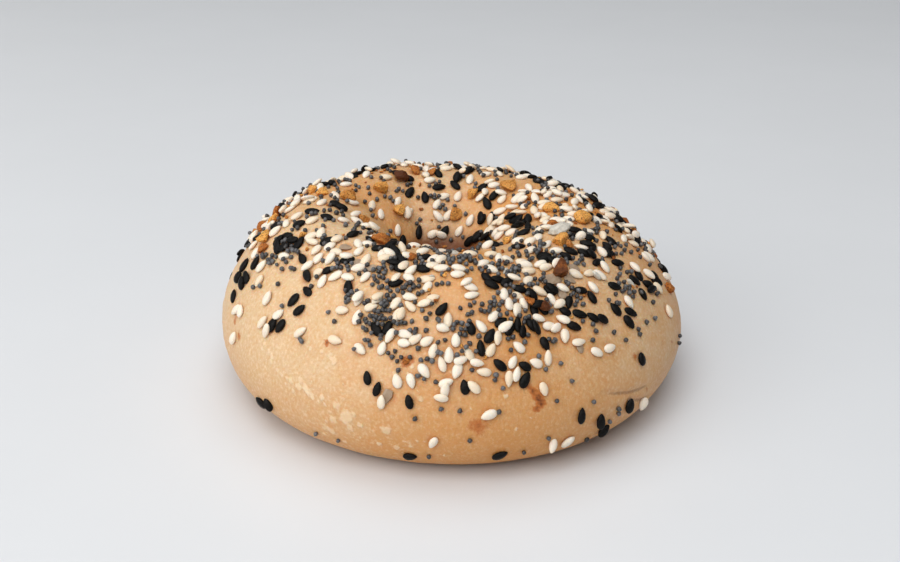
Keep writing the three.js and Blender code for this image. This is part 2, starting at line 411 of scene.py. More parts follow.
# Sesame seeds, as (across, down, turn of the pointed end), and for those that stick out, the
# share by which they lean from lying flat to facing the camera.
WHITE_SESAME_BY_EYE = (
    (236, 310, 200), (240, 311, 110), (262, 322, 45), (266, 331, 240), (278, 314, 45),
    (267, 298, 75), (300, 332, 25), (335, 340, 340), (360, 349, 320), (233, 338, 55),
    (342, 310, 350), (357, 317, 75), (358, 300, 255), (371, 307, 12), (377, 299, 235),
    (395, 304, 240), (397, 315, 75), (382, 348, 75), (390, 336, 245), (397, 381, 105),
    (381, 402, 80), (286, 223, 110), (275, 231, 50), (318, 186, 90), (346, 184, 30),
    (386, 177, 10), (322, 202, 60), (335, 195, 100), (353, 202, 20), (372, 205, 70),
    (381, 214, 80), (409, 212, 40), (356, 214, 40), (357, 221, 150), (344, 220, 30),
    (312, 220, 40), (311, 236, 30), (312, 242, 150), (316, 250, 250), (321, 233, 80),
    (330, 246, 45), (337, 239, 240), (336, 252, 330), (318, 258, 65), (330, 259, 240),
    (307, 266, 220), (347, 256, 5), (358, 243, 100), (359, 251, 60), (368, 243, 345),
    (366, 260, 75), (358, 268, 190), (322, 281, 75), (335, 276, 210), (348, 277, 330),
    (365, 277, 240), (318, 272, 5), (358, 296, 60), (378, 296, 45), (382, 254, 90),
    (389, 252, 130), (385, 258, 20), (396, 277, 70), (284, 256, 350), (261, 266, 45),
    (259, 281, 245), (255, 253, 80), (268, 219, 20), (402, 247, 95), (415, 247, 30),
    (423, 251, 40), (427, 248, 160), (408, 255, 20), (433, 259, 230), (441, 259, 60),
    (433, 265, 10), (441, 268, 180), (441, 252, 10), (404, 265, 60), (411, 269, 50),
    (409, 278, 315), (427, 279, 0), (427, 287, 245), (433, 298, 20), (410, 297, 340),
    (446, 168, 20), (458, 196, 70), (470, 179, 80), (486, 174, 30),
    (494, 185, 10), (502, 199, 60), (520, 196, 40), (525, 171, 20), (501, 219, 75),
    (459, 268, 345), (458, 274, 10), (470, 254, 0), (482, 244, 60), (488, 230, 80),
    (499, 235, 30), (511, 232, 20), (518, 241, 25), (491, 254, 15), (483, 263, 35),
    (492, 269, 320), (499, 258, 85), (508, 259, 0), (471, 287, 335), (466, 282, 225),
    (472, 295, 20), (530, 250, 240), (530, 241, 50), (539, 230, 250), (545, 219, 60),
    (534, 210, 100), (547, 244, 60), (522, 262, 10), (526, 265, 0), (528, 271, 195),
    (540, 264, 210), (546, 267, 25), (514, 278, 340), (528, 280, 50), (518, 296, 340),
    (504, 294, 80), (557, 262, 60), (548, 194, 60), (564, 195, 10),
    (585, 192, 40), (589, 207, 80), (570, 209, 20), (573, 214, 200), (544, 206, 50),
    (615, 216, 315), (627, 223, 330), (611, 225, 60), (605, 212, 20), (624, 238, 60),
    (597, 220, 90), (580, 236, 240, 0.9), (589, 232, 10), (603, 235, 255), (581, 247, 180),
    (602, 251, 100), (605, 267, 285), (589, 273, 210), (600, 275, 320), (576, 274, 335),
    (556, 251, 0), (648, 248, 80), (646, 257, 300), (635, 267, 290), (649, 274, 315),
    (670, 276, 10), (563, 288, 330), (593, 287, 125), (540, 291, 325), (658, 288, 310),
    (424, 303, 195), (410, 306, 130), (401, 313, 80), (448, 320, 85), (443, 328, 340),
    (456, 340, 88), (449, 355, 88), (433, 351, 75), (415, 339, 35), (427, 341, 30),
    (405, 334, 340), (404, 343, 345), (442, 364, 105), (424, 371, 305), (457, 371, 250),
    (461, 360, 20), (469, 354, 120), (411, 381, 285), (446, 383, 20), (445, 390, 80),
    (441, 398, 170), (477, 363, 350), (474, 387, 135), (484, 372, 172), (491, 350, 60),
    (498, 338, 260), (506, 326, 35), (481, 326, 125), (494, 316, 50), (509, 304, 80),
    (524, 304, 290), (517, 310, 250), (539, 318, 345), (549, 326, 10), (556, 328, 215),
    (519, 347, 140), (513, 362, 62), (509, 379, 265), (517, 374, 75), (536, 363, 165),
    (548, 358, 85), (544, 389, 290), (489, 415, 200), (433, 443, 245), (553, 446, 275, 0.85),
    (568, 442, 50), (645, 405, 265, 0.7), (552, 300, 290), (559, 304, 220), (563, 319, 155),
    (565, 336, 260), (579, 342, 15), (597, 352, 345), (610, 348, 20), (629, 302, 295),
    (669, 311, 105), (398, 201, 60), (408, 212, 75), (437, 204, 60), (444, 196, 20),
    (430, 180, 20), (433, 234, 30), (441, 235, 150), (398, 230, 80), (448, 215, 60),
    (438, 216, 130), (459, 231, 60), (500, 211, 20), (517, 197, 40), (495, 232, 60),
    (504, 228, 10), (470, 220, 70), (480, 197, 50), (299, 198, 20), (309, 201, 10),
    (297, 216, 60), (538, 237, 80), (619, 219, 300),
)
BLACK_SESAME_BY_EYE = (
    (233, 296, 110), (307, 291, 135), (293, 300, 230), (299, 310, 30), (272, 325, 60),
    (280, 326, 235), (367, 378, 100), (377, 389, 70), (261, 403, 135, 0.3), (268, 405, 100, 0.8),
    (376, 329, 125), (387, 328, 245), (302, 258, 120), (307, 276, 300), (328, 270, 10),
    (347, 260, 185), (327, 241, 30), (353, 234, 60), (312, 211, 355), (327, 217, 140),
    (299, 224, 20), (336, 204, 340), (342, 206, 160), (287, 236, 355), (278, 240, 20),
    (277, 247, 100), (299, 243, 70), (276, 225, 30), (292, 240, 160), (284, 247, 30),
    (255, 263, 70), (244, 265, 60), (246, 277, 120), (241, 283, 80), (238, 277, 60),
    (380, 248, 20), (370, 239, 100), (392, 245, 60), (396, 283, 15), (348, 287, 100),
    (395, 250, 110), (403, 241, 80), (424, 257, 215), (423, 269, 335), (398, 268, 150),
    (393, 262, 160), (401, 258, 115), (459, 177, 60), (455, 185, 120), (469, 166, 20),
    (477, 235, 40), (489, 242, 120), (485, 236, 140), (518, 246, 10), (524, 232, 60),
    (516, 219, 20), (510, 216, 340), (522, 223, 60), (528, 217, 100), (482, 219, 60),
    (487, 203, 110), (539, 181, 340), (553, 183, 350), (546, 184, 20), (560, 187, 160),
    (487, 278, 300), (498, 279, 190), (507, 282, 40), (492, 284, 330), (520, 289, 350),
    (532, 294, 310), (550, 290, 145), (544, 256, 20), (575, 230, 15), (572, 235, 150),
    (584, 253, 330), (566, 256, 145), (571, 251, 335), (593, 247, 60), (587, 243, 340),
    (611, 254, 285), (618, 263, 15), (597, 262, 50), (611, 241, 120), (607, 246, 100),
    (598, 205, 30), (603, 220, 20), (632, 231, 120), (641, 234, 150), (528, 226, 100),
    (637, 242, 340), (590, 238, 10), (592, 253, 160), (609, 248, 100), (583, 200, 0),
    (655, 277, 100), (546, 257, 10), (553, 259, 150), (552, 288, 145), (580, 290, 185),
    (615, 286, 0), (592, 297, 110), (639, 275, 100), (635, 280, 330), (648, 284, 170),
    (658, 281, 350), (643, 294, 285), (667, 268, 340), (652, 289, 30), (442, 309, 55),
    (471, 328, 100), (501, 322, 40), (490, 336, 60), (510, 329, 55), (518, 324, 80),
    (523, 331, 75), (531, 325, 290), (536, 327, 120), (534, 309, 90), (543, 308, 110),
    (538, 304, 20), (481, 348, 95), (545, 344, 290), (500, 365, 140), (525, 366, 155),
    (525, 380, 60), (465, 387, 100), (409, 402, 100), (410, 457, 10), (500, 456, 35),
    (569, 302, 255), (565, 311, 150), (580, 314, 350), (574, 326, 345), (593, 317, 150),
    (603, 319, 345), (616, 309, 130), (631, 312, 345), (629, 322, 310), (642, 359, 105),
    (397, 173, 150), (408, 178, 160), (410, 192, 60), (425, 197, 100), (438, 173, 110),
    (439, 187, 20), (457, 176, 80), (468, 165, 60), (482, 187, 60), (494, 195, 60),
    (481, 217, 100), (445, 231, 60), (419, 232, 80), (518, 220, 30), (492, 217, 110),
    (469, 241, 40), (476, 237, 30), (484, 236, 10), (491, 244, 130),
    (582, 416, 90, 0.4), (630, 406, 90, 0.6), (601, 422, 100, 0.6), (604, 431, 80, 0.9),
)
# Toasted flakes, as (across, down, turn, length in millimetres, toast). A flake is golden at a
# toast of 0, brown at 1 and dark beyond.
FLAKES_BY_EYE = (
    (384, 239, 8, 4.6, 0.6), (506, 240, 60, 3.0, -0.1), (561, 240, 20, 4.0, 0.1),
    (570, 244, 140, 2.2, 0.5), (582, 217, 60, 4.2, 0.1), (551, 206, 0, 4.2, 0.0),
    (509, 184, 75, 4.4, 0.3), (532, 195, 20, 3.8, 0.4), (416, 169, 100, 3.6, 0.65),
    (381, 187, 150, 3.8, 0.2), (348, 196, 10, 4.0, 0.35), (322, 192, 20, 3.0, -0.1),
    (366, 218, 80, 3.6, 0.45), (263, 236, 110, 4.4, -0.3), (262, 248, 40, 3.0, 0.65),
    (562, 269, 60, 4.6, 1.2), (472, 193, 50, 3.6, 0.15), (456, 214, 70, 3.8, 0.35),
    (530, 300, 95, 2.8, 0.65), (401, 176, 160, 4.2, 1.5), (552, 225, 50, 3.4, 0.7),
    (283, 207, 30, 3.2, 0.3), (412, 257, 60, 2.2, 0.75), (670, 288, 170, 3.0, 0.65),
    (308, 186, 30, 2.6, 0.1), (540, 249, 80, 1.8, 1.3), (432, 171, 60, 2.6, 0.6),
    (406, 361, 30, 1.5, 0.6), (399, 209, 60, 3.8, 0.0), (545, 306, 40, 2.4, 1.9),
    (302, 234, 20, 2.2, 0.2),
)
# Translucent onion pieces and salt crystals, as (across, down, turn, length in millimetres).
ONION_BY_EYE = (
    (387, 397, 70, 3.3), (346, 247, 150, 3.0), (357, 263, 80, 2.6), (562, 294, 100, 2.6),
    (551, 279, 10, 5.0), (392, 250, 30, 2.4), (574, 268, 130, 2.6), (371, 268, 10, 2.6),
    (570, 279, 150, 2.8), (580, 348, 70, 2.2),
)
SALT_BY_EYE = (
    (559, 229, 35, 5.6), (597, 275, 130, 2.8), (452, 253, 15, 3.0), (505, 271, 60, 1.8),
    (631, 283, 125, 2.6), (432, 276, 0, 1.4), (596, 221, 100, 2.6),
)
# Poppy seeds that lie alone, as (across, down), and drifts, as (across, down, spread, count).
POPPY_BY_EYE = (
    (282, 306), (328, 312), (334, 321), (300, 339), (301, 341), (354, 349), (368, 340),
    (365, 340), (370, 345), (366, 330), (388, 353), (395, 351), (392, 357), (397, 361),
    (398, 370), (338, 441), (316, 434), (422, 310), (415, 302), (432, 304), (470, 305),
    (482, 304), (490, 302), (468, 314), (472, 312), (481, 310), (485, 311), (489, 311),
    (438, 319), (439, 321), (457, 322), (462, 323), (460, 334), (465, 335), (453, 329),
    (405, 323), (412, 321), (401, 322), (410, 330), (416, 329), (415, 332), (426, 330),
    (438, 342), (445, 340), (418, 348), (438, 352), (441, 353), (470, 343), (466, 347),
    (462, 351), (457, 355), (476, 351), (479, 336), (401, 357), (410, 357), (421, 360),
    (427, 359), (432, 361), (418, 376), (424, 379), (436, 382), (472, 370), (496, 375),
    (495, 380), (503, 388), (441, 409), (460, 411), (499, 412), (415, 419), (470, 441),
    (429, 457), (524, 453), (549, 439), (557, 401), (546, 369), (539, 356), (511, 350),
    (525, 342), (513, 337), (509, 338), (528, 335), (549, 339), (555, 340), (552, 311),
    (500, 315), (507, 313), (616, 294), (609, 300), (619, 303), (617, 303), (634, 292),
    (658, 293), (653, 302), (647, 322), (655, 318), (639, 329), (640, 334), (626, 340),
    (614, 332), (596, 331), (593, 340), (593, 324), (583, 321), (583, 304), (575, 305),
    (571, 295), (577, 296), (577, 301), (551, 311), (554, 341), (561, 363), (572, 381),
    (594, 402), (681, 336), (679, 343), (619, 409), (619, 414), (610, 422), (587, 440),
    (286, 262), (282, 269), (278, 284), (253, 287), (260, 286), (291, 268), (294, 269),
    (311, 286), (316, 276), (442, 274), (449, 268), (467, 271), (480, 268), (482, 270),
    (419, 280), (419, 286), (448, 283), (442, 283), (437, 284), (494, 297), (498, 292),
    (624, 282), (657, 294), (580, 260), (584, 264), (541, 279), (543, 277), (546, 280),
)
POPPY_DRIFTS = (
    (352, 298, 5, 5), (370, 304, 5, 4), (386, 305, 7, 17), (374, 315, 6, 10),
    (391, 321, 5, 8), (380, 325, 8, 13), (374, 322, 4, 5), (382, 336, 3, 2), (331, 265, 6, 5),
    (344, 266, 6, 5), (367, 268, 5, 5), (378, 268, 4, 5), (377, 287, 8, 6), (387, 292, 6, 4),
    (377, 279, 4, 4), (392, 264, 5, 7), (270, 259, 7, 10), (350, 293, 3, 3), (448, 261, 5, 8),
    (460, 259, 6, 8), (472, 262, 6, 7), (500, 267, 8, 12), (519, 269, 6, 9),
    (507, 286, 9, 8), (478, 300, 10, 2), (496, 304, 6, 7), (409, 290, 7, 12),
    (545, 258, 9, 14), (577, 260, 4, 5), (624, 272, 5, 5), (628, 287, 5, 6), (634, 292, 4, 3),
    (541, 280, 4, 4), (572, 296, 5, 4), (520, 322, 5, 4), (530, 316, 5, 4), (515, 300, 5, 5),
    (462, 326, 5, 5), (427, 312, 5, 2), (567, 281, 4, 2), (533, 285, 5, 3), (286, 243, 4, 9),
    (291, 249, 4, 6), (591, 232, 3, 5), (618, 229, 3, 3), (657, 261, 4, 3), (420, 264, 5, 7),
    (548, 305, 4, 6),
)
# Marks on the crust, as (across, down, radius in millimetres), and for stains their strength.
BLISTERS = (
    (336, 405, 1.0), (346, 417, 1.8), (330, 411, 0.8), (333, 420, 1.1), (327, 421, 0.6),
    (326, 428, 1.2), (332, 431, 0.9), (325, 434, 0.7), (351, 428, 0.9), (347, 424, 0.7),
    (360, 425, 0.8), (354, 415, 0.5), (374, 431, 0.7), (386, 430, 1.3), (384, 422, 0.5),
    (360, 437, 0.6), (345, 441, 0.7), (380, 444, 0.8), (396, 447, 0.9), (369, 418, 0.5),
    (322, 397, 0.8), (319, 402, 0.6), (343, 384, 0.5), (305, 387, 0.9), (309, 392, 1.0),
    (313, 397, 0.7), (299, 387, 1.0), (291, 380, 0.9), (293, 391, 0.6), (301, 380, 0.7),
    (286, 377, 0.6), (287, 385, 0.6), (272, 363, 0.7), (278, 370, 0.7), (282, 376, 0.7),
    (269, 352, 0.8), (272, 357, 0.6), (262, 348, 0.6), (273, 369, 0.5), (265, 344, 0.6),
    (266, 360, 0.5), (297, 374, 0.5), (319, 388, 0.5), (312, 381, 0.4), (325, 405, 0.4),
    (405, 441, 0.6), (411, 441, 0.6), (418, 441, 0.6), (424, 441, 0.5), (401, 434, 0.4),
    (411, 446, 0.7), (424, 449, 0.6), (438, 446, 0.5), (445, 440, 0.4), (421, 399, 0.8),
    (334, 361, 0.9), (331, 356, 0.8), (322, 352, 0.7), (310, 349, 0.7), (306, 354, 0.5),
    (396, 374, 0.8), (412, 366, 0.8), (408, 374, 0.5), (417, 391, 0.5), (489, 422, 0.5),
    (452, 372, 0.7), (506, 396, 0.6), (470, 408, 0.4), (516, 429, 0.6), (530, 418, 0.4),
    (662, 334, 0.5), (606, 432, 0.4), (445, 455, 0.5),
)
STAINS = (
    (529, 387, 0.8, 0.8), (533, 391, 0.9, 0.9), (538, 397, 1.2, 1.0), (541, 403, 1.2, 1.0),
    (537, 409, 0.9, 0.85), (406, 362, 1.4, 0.75), (411, 359, 0.8, 0.8), (327, 343, 0.8, 1.0),
    (478, 426, 2.3, 0.58), (662, 343, 0.7, 0.5), (239, 336, 1.1, 0.6), (235, 321, 1.0, 0.6),
    (647, 390, 0.7, 0.5), (635, 357, 1.0, 0.6), (672, 342, 0.6, 0.7),
)
CREASES = (  # lines of places, across and down
    ((600, 394), (616, 394), (630, 393), (640, 390), (648, 386)),
    ((628, 399), (640, 401), (648, 398)),
)


# ---------------------------------------------------------------------------------------------
# How toppings land.


class Pile:
    """Toppings that have landed. Each is a flattened egg: a middle, axes across, along and up,
    and half of its size along each."""

    CELL = 3.6 * MM  # of the grid in which a new piece finds its neighbours
    # Places under a piece where it may touch, as shares of its half width and half length.
    FEET = np.array([
        (0, 0), (0.5, 0), (-0.5, 0), (0, 0.5), (0, -0.5), (0.85, 0), (-0.85, 0),
        (0, 0.85), (0, -0.85), (0.6, 0.6), (-0.6, 0.6), (0.6, -0.6), (-0.6, -0.6),
    ])
    # How far the egg reaches down at each, as a share of its half thickness.
    ROOM_UNDER_FEET = np.sqrt(1 - np.sum(FEET**2, axis=1))
    SIDES = (5, 6)  # the feet that tell how it tilts across
    ENDS = (7, 8)  # and along
    STEEPEST = 0.62  # slope at which a piece may lie on others
    LEAST_UPRIGHT = 0.3  # a landed piece that is turned further counts as turned by this

    def __init__(self):
        self.middles, self.axes, self.halves, self.cells = [], [], [], {}

    def near(self, point):
        """The landed pieces round a place."""
        key = [math.floor(c / self.CELL) for c in point]
        found = []
        for x in range(key[0] - 1, key[0] + 2):
            for y in range(key[1] - 1, key[1] + 2):
                for z in range(key[2] - 1, key[2] + 2):
                    found += self.cells.get((x, y, z), ())
        return found

    def tops(self, point, axes, feet):
        """How high the pile stands above the crust under each foot of a new piece."""
        near = self.near(point)
        if not near:
            return np.zeros(len(feet))
        local = (np.array([self.middles[i] for i in near]) - point) @ axes.T
        turned = np.array([self.axes[i] for i in near]) @ axes.T
        halves = np.array([self.halves[i] for i in near])
        offset = feet[None] - local[:, None, :2]
        normal = turned[:, 2]
        slope = np.einsum("kmi,ki->km", offset, normal[:, :2])
        slope /= np.maximum(normal[:, 2:3], self.LEAST_UPRIGHT)
        across = np.einsum("kmi,ki->km", offset, turned[:, 0, :2]) / halves[:, :1]
        along = np.einsum("kmi,ki->km", offset, turned[:, 1, :2]) / halves[:, 1:2]
        room = 1 - across**2 - along**2
        top = local[:, 2:3] - slope + halves[:, 2:3] * np.sqrt(np.maximum(room, 0))
        return np.maximum(np.where(room > 0, top, 0).max(axis=0), 0)

    def rest(self, point, normal, along, halves, sunk, lean=Vector()):
        """Where a piece comes to rest: its middle, its axes, and its height above the crust.

        Its face leans from the crust's normal by the vector lean, as a slope."""
        axes = np.array([along.cross(normal).normalized(), along, normal])
        feet = self.FEET * halves[:2]
        tops = self.tops(np.array(point), axes, feet)
        tilt = np.array([
            (tops[a] - tops[b]) / (feet[a] - feet[b])[i]
            for i, (a, b) in enumerate((self.SIDES, self.ENDS))
        ])
        tilt = np.clip(tilt, -self.STEEPEST, self.STEEPEST) - axes[:2] @ np.array(lean)
        level = 1 / math.sqrt(1 + tilt @ tilt)
        under = (feet @ tilt - halves[2] * self.ROOM_UNDER_FEET) * level
        height = (tops - under).max() - sunk * (1 + lean.length)
        up = axes[2] - axes[0] * tilt[0] - axes[1] * tilt[1]
        up /= np.linalg.norm(up)
        forward = axes[1] - up * (axes[1] @ up)
        forward /= np.linalg.norm(forward)
        middle = np.array(point) + axes[2] * height
        return middle, np.array([np.cross(forward, up), forward, up]), height

    def add(self, middle, axes, halves):
        key = tuple(math.floor(c / self.CELL) for c in middle)
        self.cells.setdefault(key, []).append(len(self.middles))
        self.middles.append(middle)
        self.axes.append(axes)
        self.halves.append(halves)


class Kind:
    """One kind of topping, and its pieces as they came to rest."""

    SPREAD_OF_WHOLE = 0.6  # share of the spread by which pieces differ as a whole

    def __init__(self, size, spread, shapes, sunk):
        self.size, self.spread, self.shapes, self.sunk = np.array(size), spread, shapes, sunk
        self.middles, self.turns, self.scales, self.tints, self.chosen = [], [], [], [], []

    def grown(self, draw, long):
        """The size of one piece: by chance, or of a given length."""
        own = 1 + self.SPREAD_OF_WHOLE * self.spread * draw.uniform(-1, 1)
        size = self.size * [own * (1 + self.spread * draw.uniform(-1, 1)) for _ in range(3)]
        return size if long is None else size * long / size[1]

    def add(self, middle, axes, size, tint, shape):
        self.middles.append(middle)
        self.turns.append(Matrix(axes.T.tolist()).to_euler())
        self.scales.append(size / self.size)
        self.tints.append(tint)
        self.chosen.append(shape)


# In view, pieces are laid from the lists. Only these are strewn there by chance: crumbs, poppy seeds
# higher than a line, and white seeds in boxes, given as left, top, right and bottom.
POPPY_STREWN_ABOVE = 262
WHITE_STREWN_IN = ((360, 150, 600, 178), (470, 178, 590, 232))
# In these boxes, crust that faces a little away counts as in view too, because what lies on it
# would show over the hole's near lip or over the right rim.
BARE_IN_VIEW = ((402, 226, 512, 254), (648, 246, 690, 280))

# How thickly pieces are strewn: millimetres outward of the crest, and directions in degrees.
STREWN_REACH = (-28, 32)
OUTER_EDGE = 26.0
EDGE_WAVES = ((2.2, 3, 1), (1.3, 7, 0))  # height, waves around, phase
EDGE_SOFTNESS = 3
INNER_EDGE = (-29, -19)  # where the cover begins, and where it is full
BARE_PATCH = (-135, 42)  # direction, half width
BARE_PATCH_EDGE = 13.5
BARE_WALL = (160, 42)  # direction, half width
BARE_WALL_OUTWARD = (-20, 10)  # middle, half width
BARE_WALL_SHARE = 0.85
STRAY_REACH = (25, 52, 27)  # nearest, farthest, and where most lie
STRAYS_PAST = 5


def cover(angle, outward):
    """How thickly the toppings cover a place, from 0 to 1."""
    outward = outward / MM
    edge = lerp(OUTER_EDGE, BARE_PATCH_EDGE, on_side(angle, *BARE_PATCH))
    for height, waves, phase in EDGE_WAVES:
        edge += height * math.sin(waves * angle + phase)
    outer = 1 - smoothstep(outward, edge - EDGE_SOFTNESS, edge + EDGE_SOFTNESS)
    inner = smoothstep(outward, *INNER_EDGE)
    middle, half_width = BARE_WALL_OUTWARD
    bare_wall = on_side(angle, *BARE_WALL) * hump(outward - middle, half_width)
    return float(outer * inner * (1 - BARE_WALL_SHARE * bare_wall))


class Toppings:
    """Lays all the toppings on the crust, in a fixed order: first the listed ones, then large
    ones strewn by chance into the gaps, then poppy seeds and crumbs into what gaps are left."""

    LARGE = (("white", 23), ("black", 10), ("flake", 3), ("salt", 1))  # kinds, and parts of each
    FINE = (("poppy", 6), ("crumb", 1))
    STRAY = ("white", "black", "poppy", "poppy")
    LARGE_TRIES, FINE_TRIES, DRIFT_TRIES = 3, 4, 6
    DRIFT_FLATNESS = 0.6  # a drift's spread down the view, as a share of its spread across
    UNHULLED = 1.07  # by which a seed with its hull is longer

    # How high a piece's underside may be above the crust.
    HIGHEST_BY_EYE = 6 * MM
    HIGHEST_STREWN = 0.9 * MM
    HIGHEST_IN_DRIFT = 0.5 * MM
    HIGHEST_STRAY = 3 * MM
    LEFT_IN_VIEW = 0.5  # share of HIGHEST_STREWN that holds in view
    OVER_SOLID = 1.0 * MM  # by which pieces may stand over the solid
    TOUCHING = 0.3 * MM  # gap under a piece that still presses the crust

    LEANS = (0.15, 0.75)  # shares by which listed pieces lean towards facing the camera
    SALT_LEAN = 0.6
    STREWN_LEAN = 0.3  # slope by which strewn pieces lean
    GRAZING = 0.2  # crust that faces the camera more than this is in view
    HIDDEN = -0.3  # and in BARE_IN_VIEW, crust that does more than this

    def __init__(self, settings):
        sizes = settings.toppings
        self.sizes = sizes
        self.ring = Ring(settings.dough)
        grid = self.ring.grid(settings.dough.around, settings.dough.across)
        faces = ring_faces(settings.dough.around, settings.dough.across)
        self.crust = BVHTree.FromPolygons(self.ring.points(*grid).tolist(), faces)
        self.eye = Eye(settings.stage, self.crust)
        self.draw = random.Random(RANDOM_SEED)
        self.pile = Pile()
        self.touching = []
        self.ceiling = NODE_TOP + self.OVER_SOLID

        def kind(long, wide, thick, spread, shapes, sunk):
            """Width and thickness are shares of the length, and sunk is in millimetres."""
            return Kind((long * wide, long, long * thick), spread, shapes, sunk * MM)

        self.kinds = {
            "white": kind(sizes.sesame_length, 0.61, 0.36, 0.09, 4, 0.2),
            "black": kind(sizes.sesame_length * self.UNHULLED, 0.56, 0.31, 0.09, 4, 0.18),
            "poppy": kind(sizes.poppy_length, 0.86, 0.8, 0.12, 3, 0.12),
            "flake": kind(sizes.flake_length, 0.78, 0.55, 0.14, 8, 0.2),
            "onion": kind(sizes.onion_length, 0.7, 0.2, 0.12, 4, 0.12),
            "salt": kind(sizes.salt_length, 0.44, 0.34, 0.12, 4, 0.18),
            "crumb": kind(sizes.crumb_length, 0.75, 0.55, 0.35, 6, 0.08),
        }

    def lay(self, name, point, normal, along, tint, highest, long=None, lean=Vector()):
        """Lays one piece, unless it would stand too high there. None goes below the floor."""
        kind = self.kinds[name]
        size = kind.grown(self.draw, long)
        shape = self.draw.randrange(kind.shapes)
        middle, axes, height = self.pile.rest(point, normal, along, size / 2, kind.sunk, lean)
        if height - size[2] / 2 > highest or middle[2] + size[2] / 2 > self.ceiling:
            return
        reach = sum((axes[i][2] * size[i] / 2) ** 2 for i in range(3)) ** 0.5
        middle[2] = max(middle[2], reach)
        self.pile.add(middle, axes, size / 2)
        kind.add(middle, axes, size, tint, shape)
        if height < size[2] / 2 + self.TOUCHING:
            self.touching.append((Vector(middle), size, self.draw.random()))

    def lay_by_eye(self, name, pixel, turn, tint, long=None, lean=None):
        """Lays a piece that leans from lying flat towards facing the camera. Unless a share is
        given, it leans by chance, and more where the crust itself faces the camera less."""
        kind = self.kinds[name]
        lift = kind.size[2] / 2
        chance = self.draw.uniform(*self.LEANS)
        for _ in range(2):  # the second time, with the height at which it came to rest
            point, normal = self.eye.hit(pixel, lift)
            facing = normal.dot(self.eye.back)
            share = chance * (1 - facing) if lean is None else lean
            slope = share * (self.eye.back - normal * facing) / (1 - share + share * facing)
            along = self.eye.along(turn, (normal + slope).normalized())
            along = (along - normal * along.dot(normal)).normalized()
            halves = kind.size / 2 if long is None else kind.size / kind.size[1] * long / 2
            lift = self.pile.rest(point, normal, along, halves, kind.sunk, slope)[2]
        self.lay(name, point, normal, along, tint, self.HIGHEST_BY_EYE, long, slope)

    def on_crust(self, angle, outward):
        found, normal, _, _ = self.crust.find_nearest(self.ring.points(angle, outward).tolist())
        return found, normal

    def any_direction(self, normal):
        turn = self.draw.uniform(0, 2 * math.pi)
        side = normal.orthogonal().normalized()
        return side * math.cos(turn) + normal.cross(side) * math.sin(turn)

    def lowest(self, kind, places):
        """Of some places, the one where a piece would lie lowest: its point and normal, and the
        piece's direction there."""
        found = []
        for attempt, (point, normal) in enumerate(places):
            along = self.any_direction(normal)
            height = self.pile.rest(point, normal, along, kind.size / 2, kind.sunk)[2]
            found.append((height, attempt, point, normal, along))
        return min(found)[2:]

    def places_in_drift(self, across, down, spread):
        lift = self.kinds["poppy"].size[2] / 2
        for _ in range(self.DRIFT_TRIES):
            pixel_across = self.draw.gauss(across, spread)
            pixel_down = self.draw.gauss(down, spread * self.DRIFT_FLATNESS)
            yield self.eye.hit((pixel_across, pixel_down), lift)

    def drift(self, across, down, spread):
        """Lays a poppy seed in the lowest of a few places in a drift, unless all are taken."""
        places = self.places_in_drift(across, down, spread)
        point, normal, along = self.lowest(self.kinds["poppy"], places)
        self.lay("poppy", point, normal, along, self.draw.random(), self.HIGHEST_IN_DRIFT)

    def seen_in(self, boxes, point):
        """Whether a place is inside a box of the view, given as left, top, right and bottom."""
        across, down = self.eye.pixel(point)
        return any(
            left < across < right and top < down < bottom for left, top, right, bottom in boxes
        )

    def left_to_eye(self, name, point):
        """Whether pieces of that kind are laid from the lists at a place, if it is in view."""
        if name == "poppy":
            return self.eye.pixel(point)[1] > POPPY_STREWN_ABOVE
        if name == "white":
            return not self.seen_in(WHITE_STREWN_IN, point)
        return name != "crumb"

    def any_place(self):
        """An angle and a distance outward, drawn as thickly as the cover says."""
        while True:
            angle = self.draw.uniform(-math.pi, math.pi)
            outward = self.draw.uniform(*STREWN_REACH) * MM
            room = float(self.ring.radius_at(outward)) / self.ring.radius
            if self.draw.random() < room * cover(angle, outward):
                return angle, outward

    def places_near(self, angle, outward, tries):
        """Places on the crust up to a millimetre away, each way."""
        radius = float(self.ring.radius_at(outward))
        for _ in range(tries):
            shift = self.draw.uniform(-1, 1) * MM
            step = self.draw.uniform(-1, 1) * MM
            yield self.on_crust(angle + shift / radius, outward + step)

    def strew(self, mix, wanted, tries):
        """Lays pieces by chance, each in the lowest of a few places close to each other."""
        names = [name for name, parts in mix for _ in range(parts)]
        for _ in range(wanted):
            angle, outward = self.any_place()
            name = self.draw.choice(names)
            places = self.places_near(angle, outward, tries)
            point, normal, along = self.lowest(self.kinds[name], places)
            facing = (self.eye.place - point).normalized().dot(normal)
            bare = facing > self.HIDDEN and self.seen_in(BARE_IN_VIEW, point)
            in_view = facing > self.GRAZING or bare
            if in_view and self.left_to_eye(name, point):
                continue
            lean = self.any_direction(normal) * abs(self.draw.gauss(0, self.STREWN_LEAN))
            highest = self.HIGHEST_STREWN * (self.LEFT_IN_VIEW if in_view else 1)
            self.lay(name, point, normal, along, self.draw.random(), highest, lean=lean)

    def let_stray(self, wanted):
        """Lays loose seeds below the strewn part, on the sides that aren't laid from the lists."""
        for _ in range(wanted):
            name = self.draw.choice(self.STRAY)
            angle = angle_behind(self.draw, STRAYS_PAST)
            outward = self.draw.triangular(*STRAY_REACH) * MM
            point, normal = self.on_crust(angle, outward)
            if (self.eye.place - point).dot(normal) < 0:
                along = self.any_direction(normal)
                self.lay(name, point, normal, along, self.draw.random(), self.HIGHEST_STRAY)

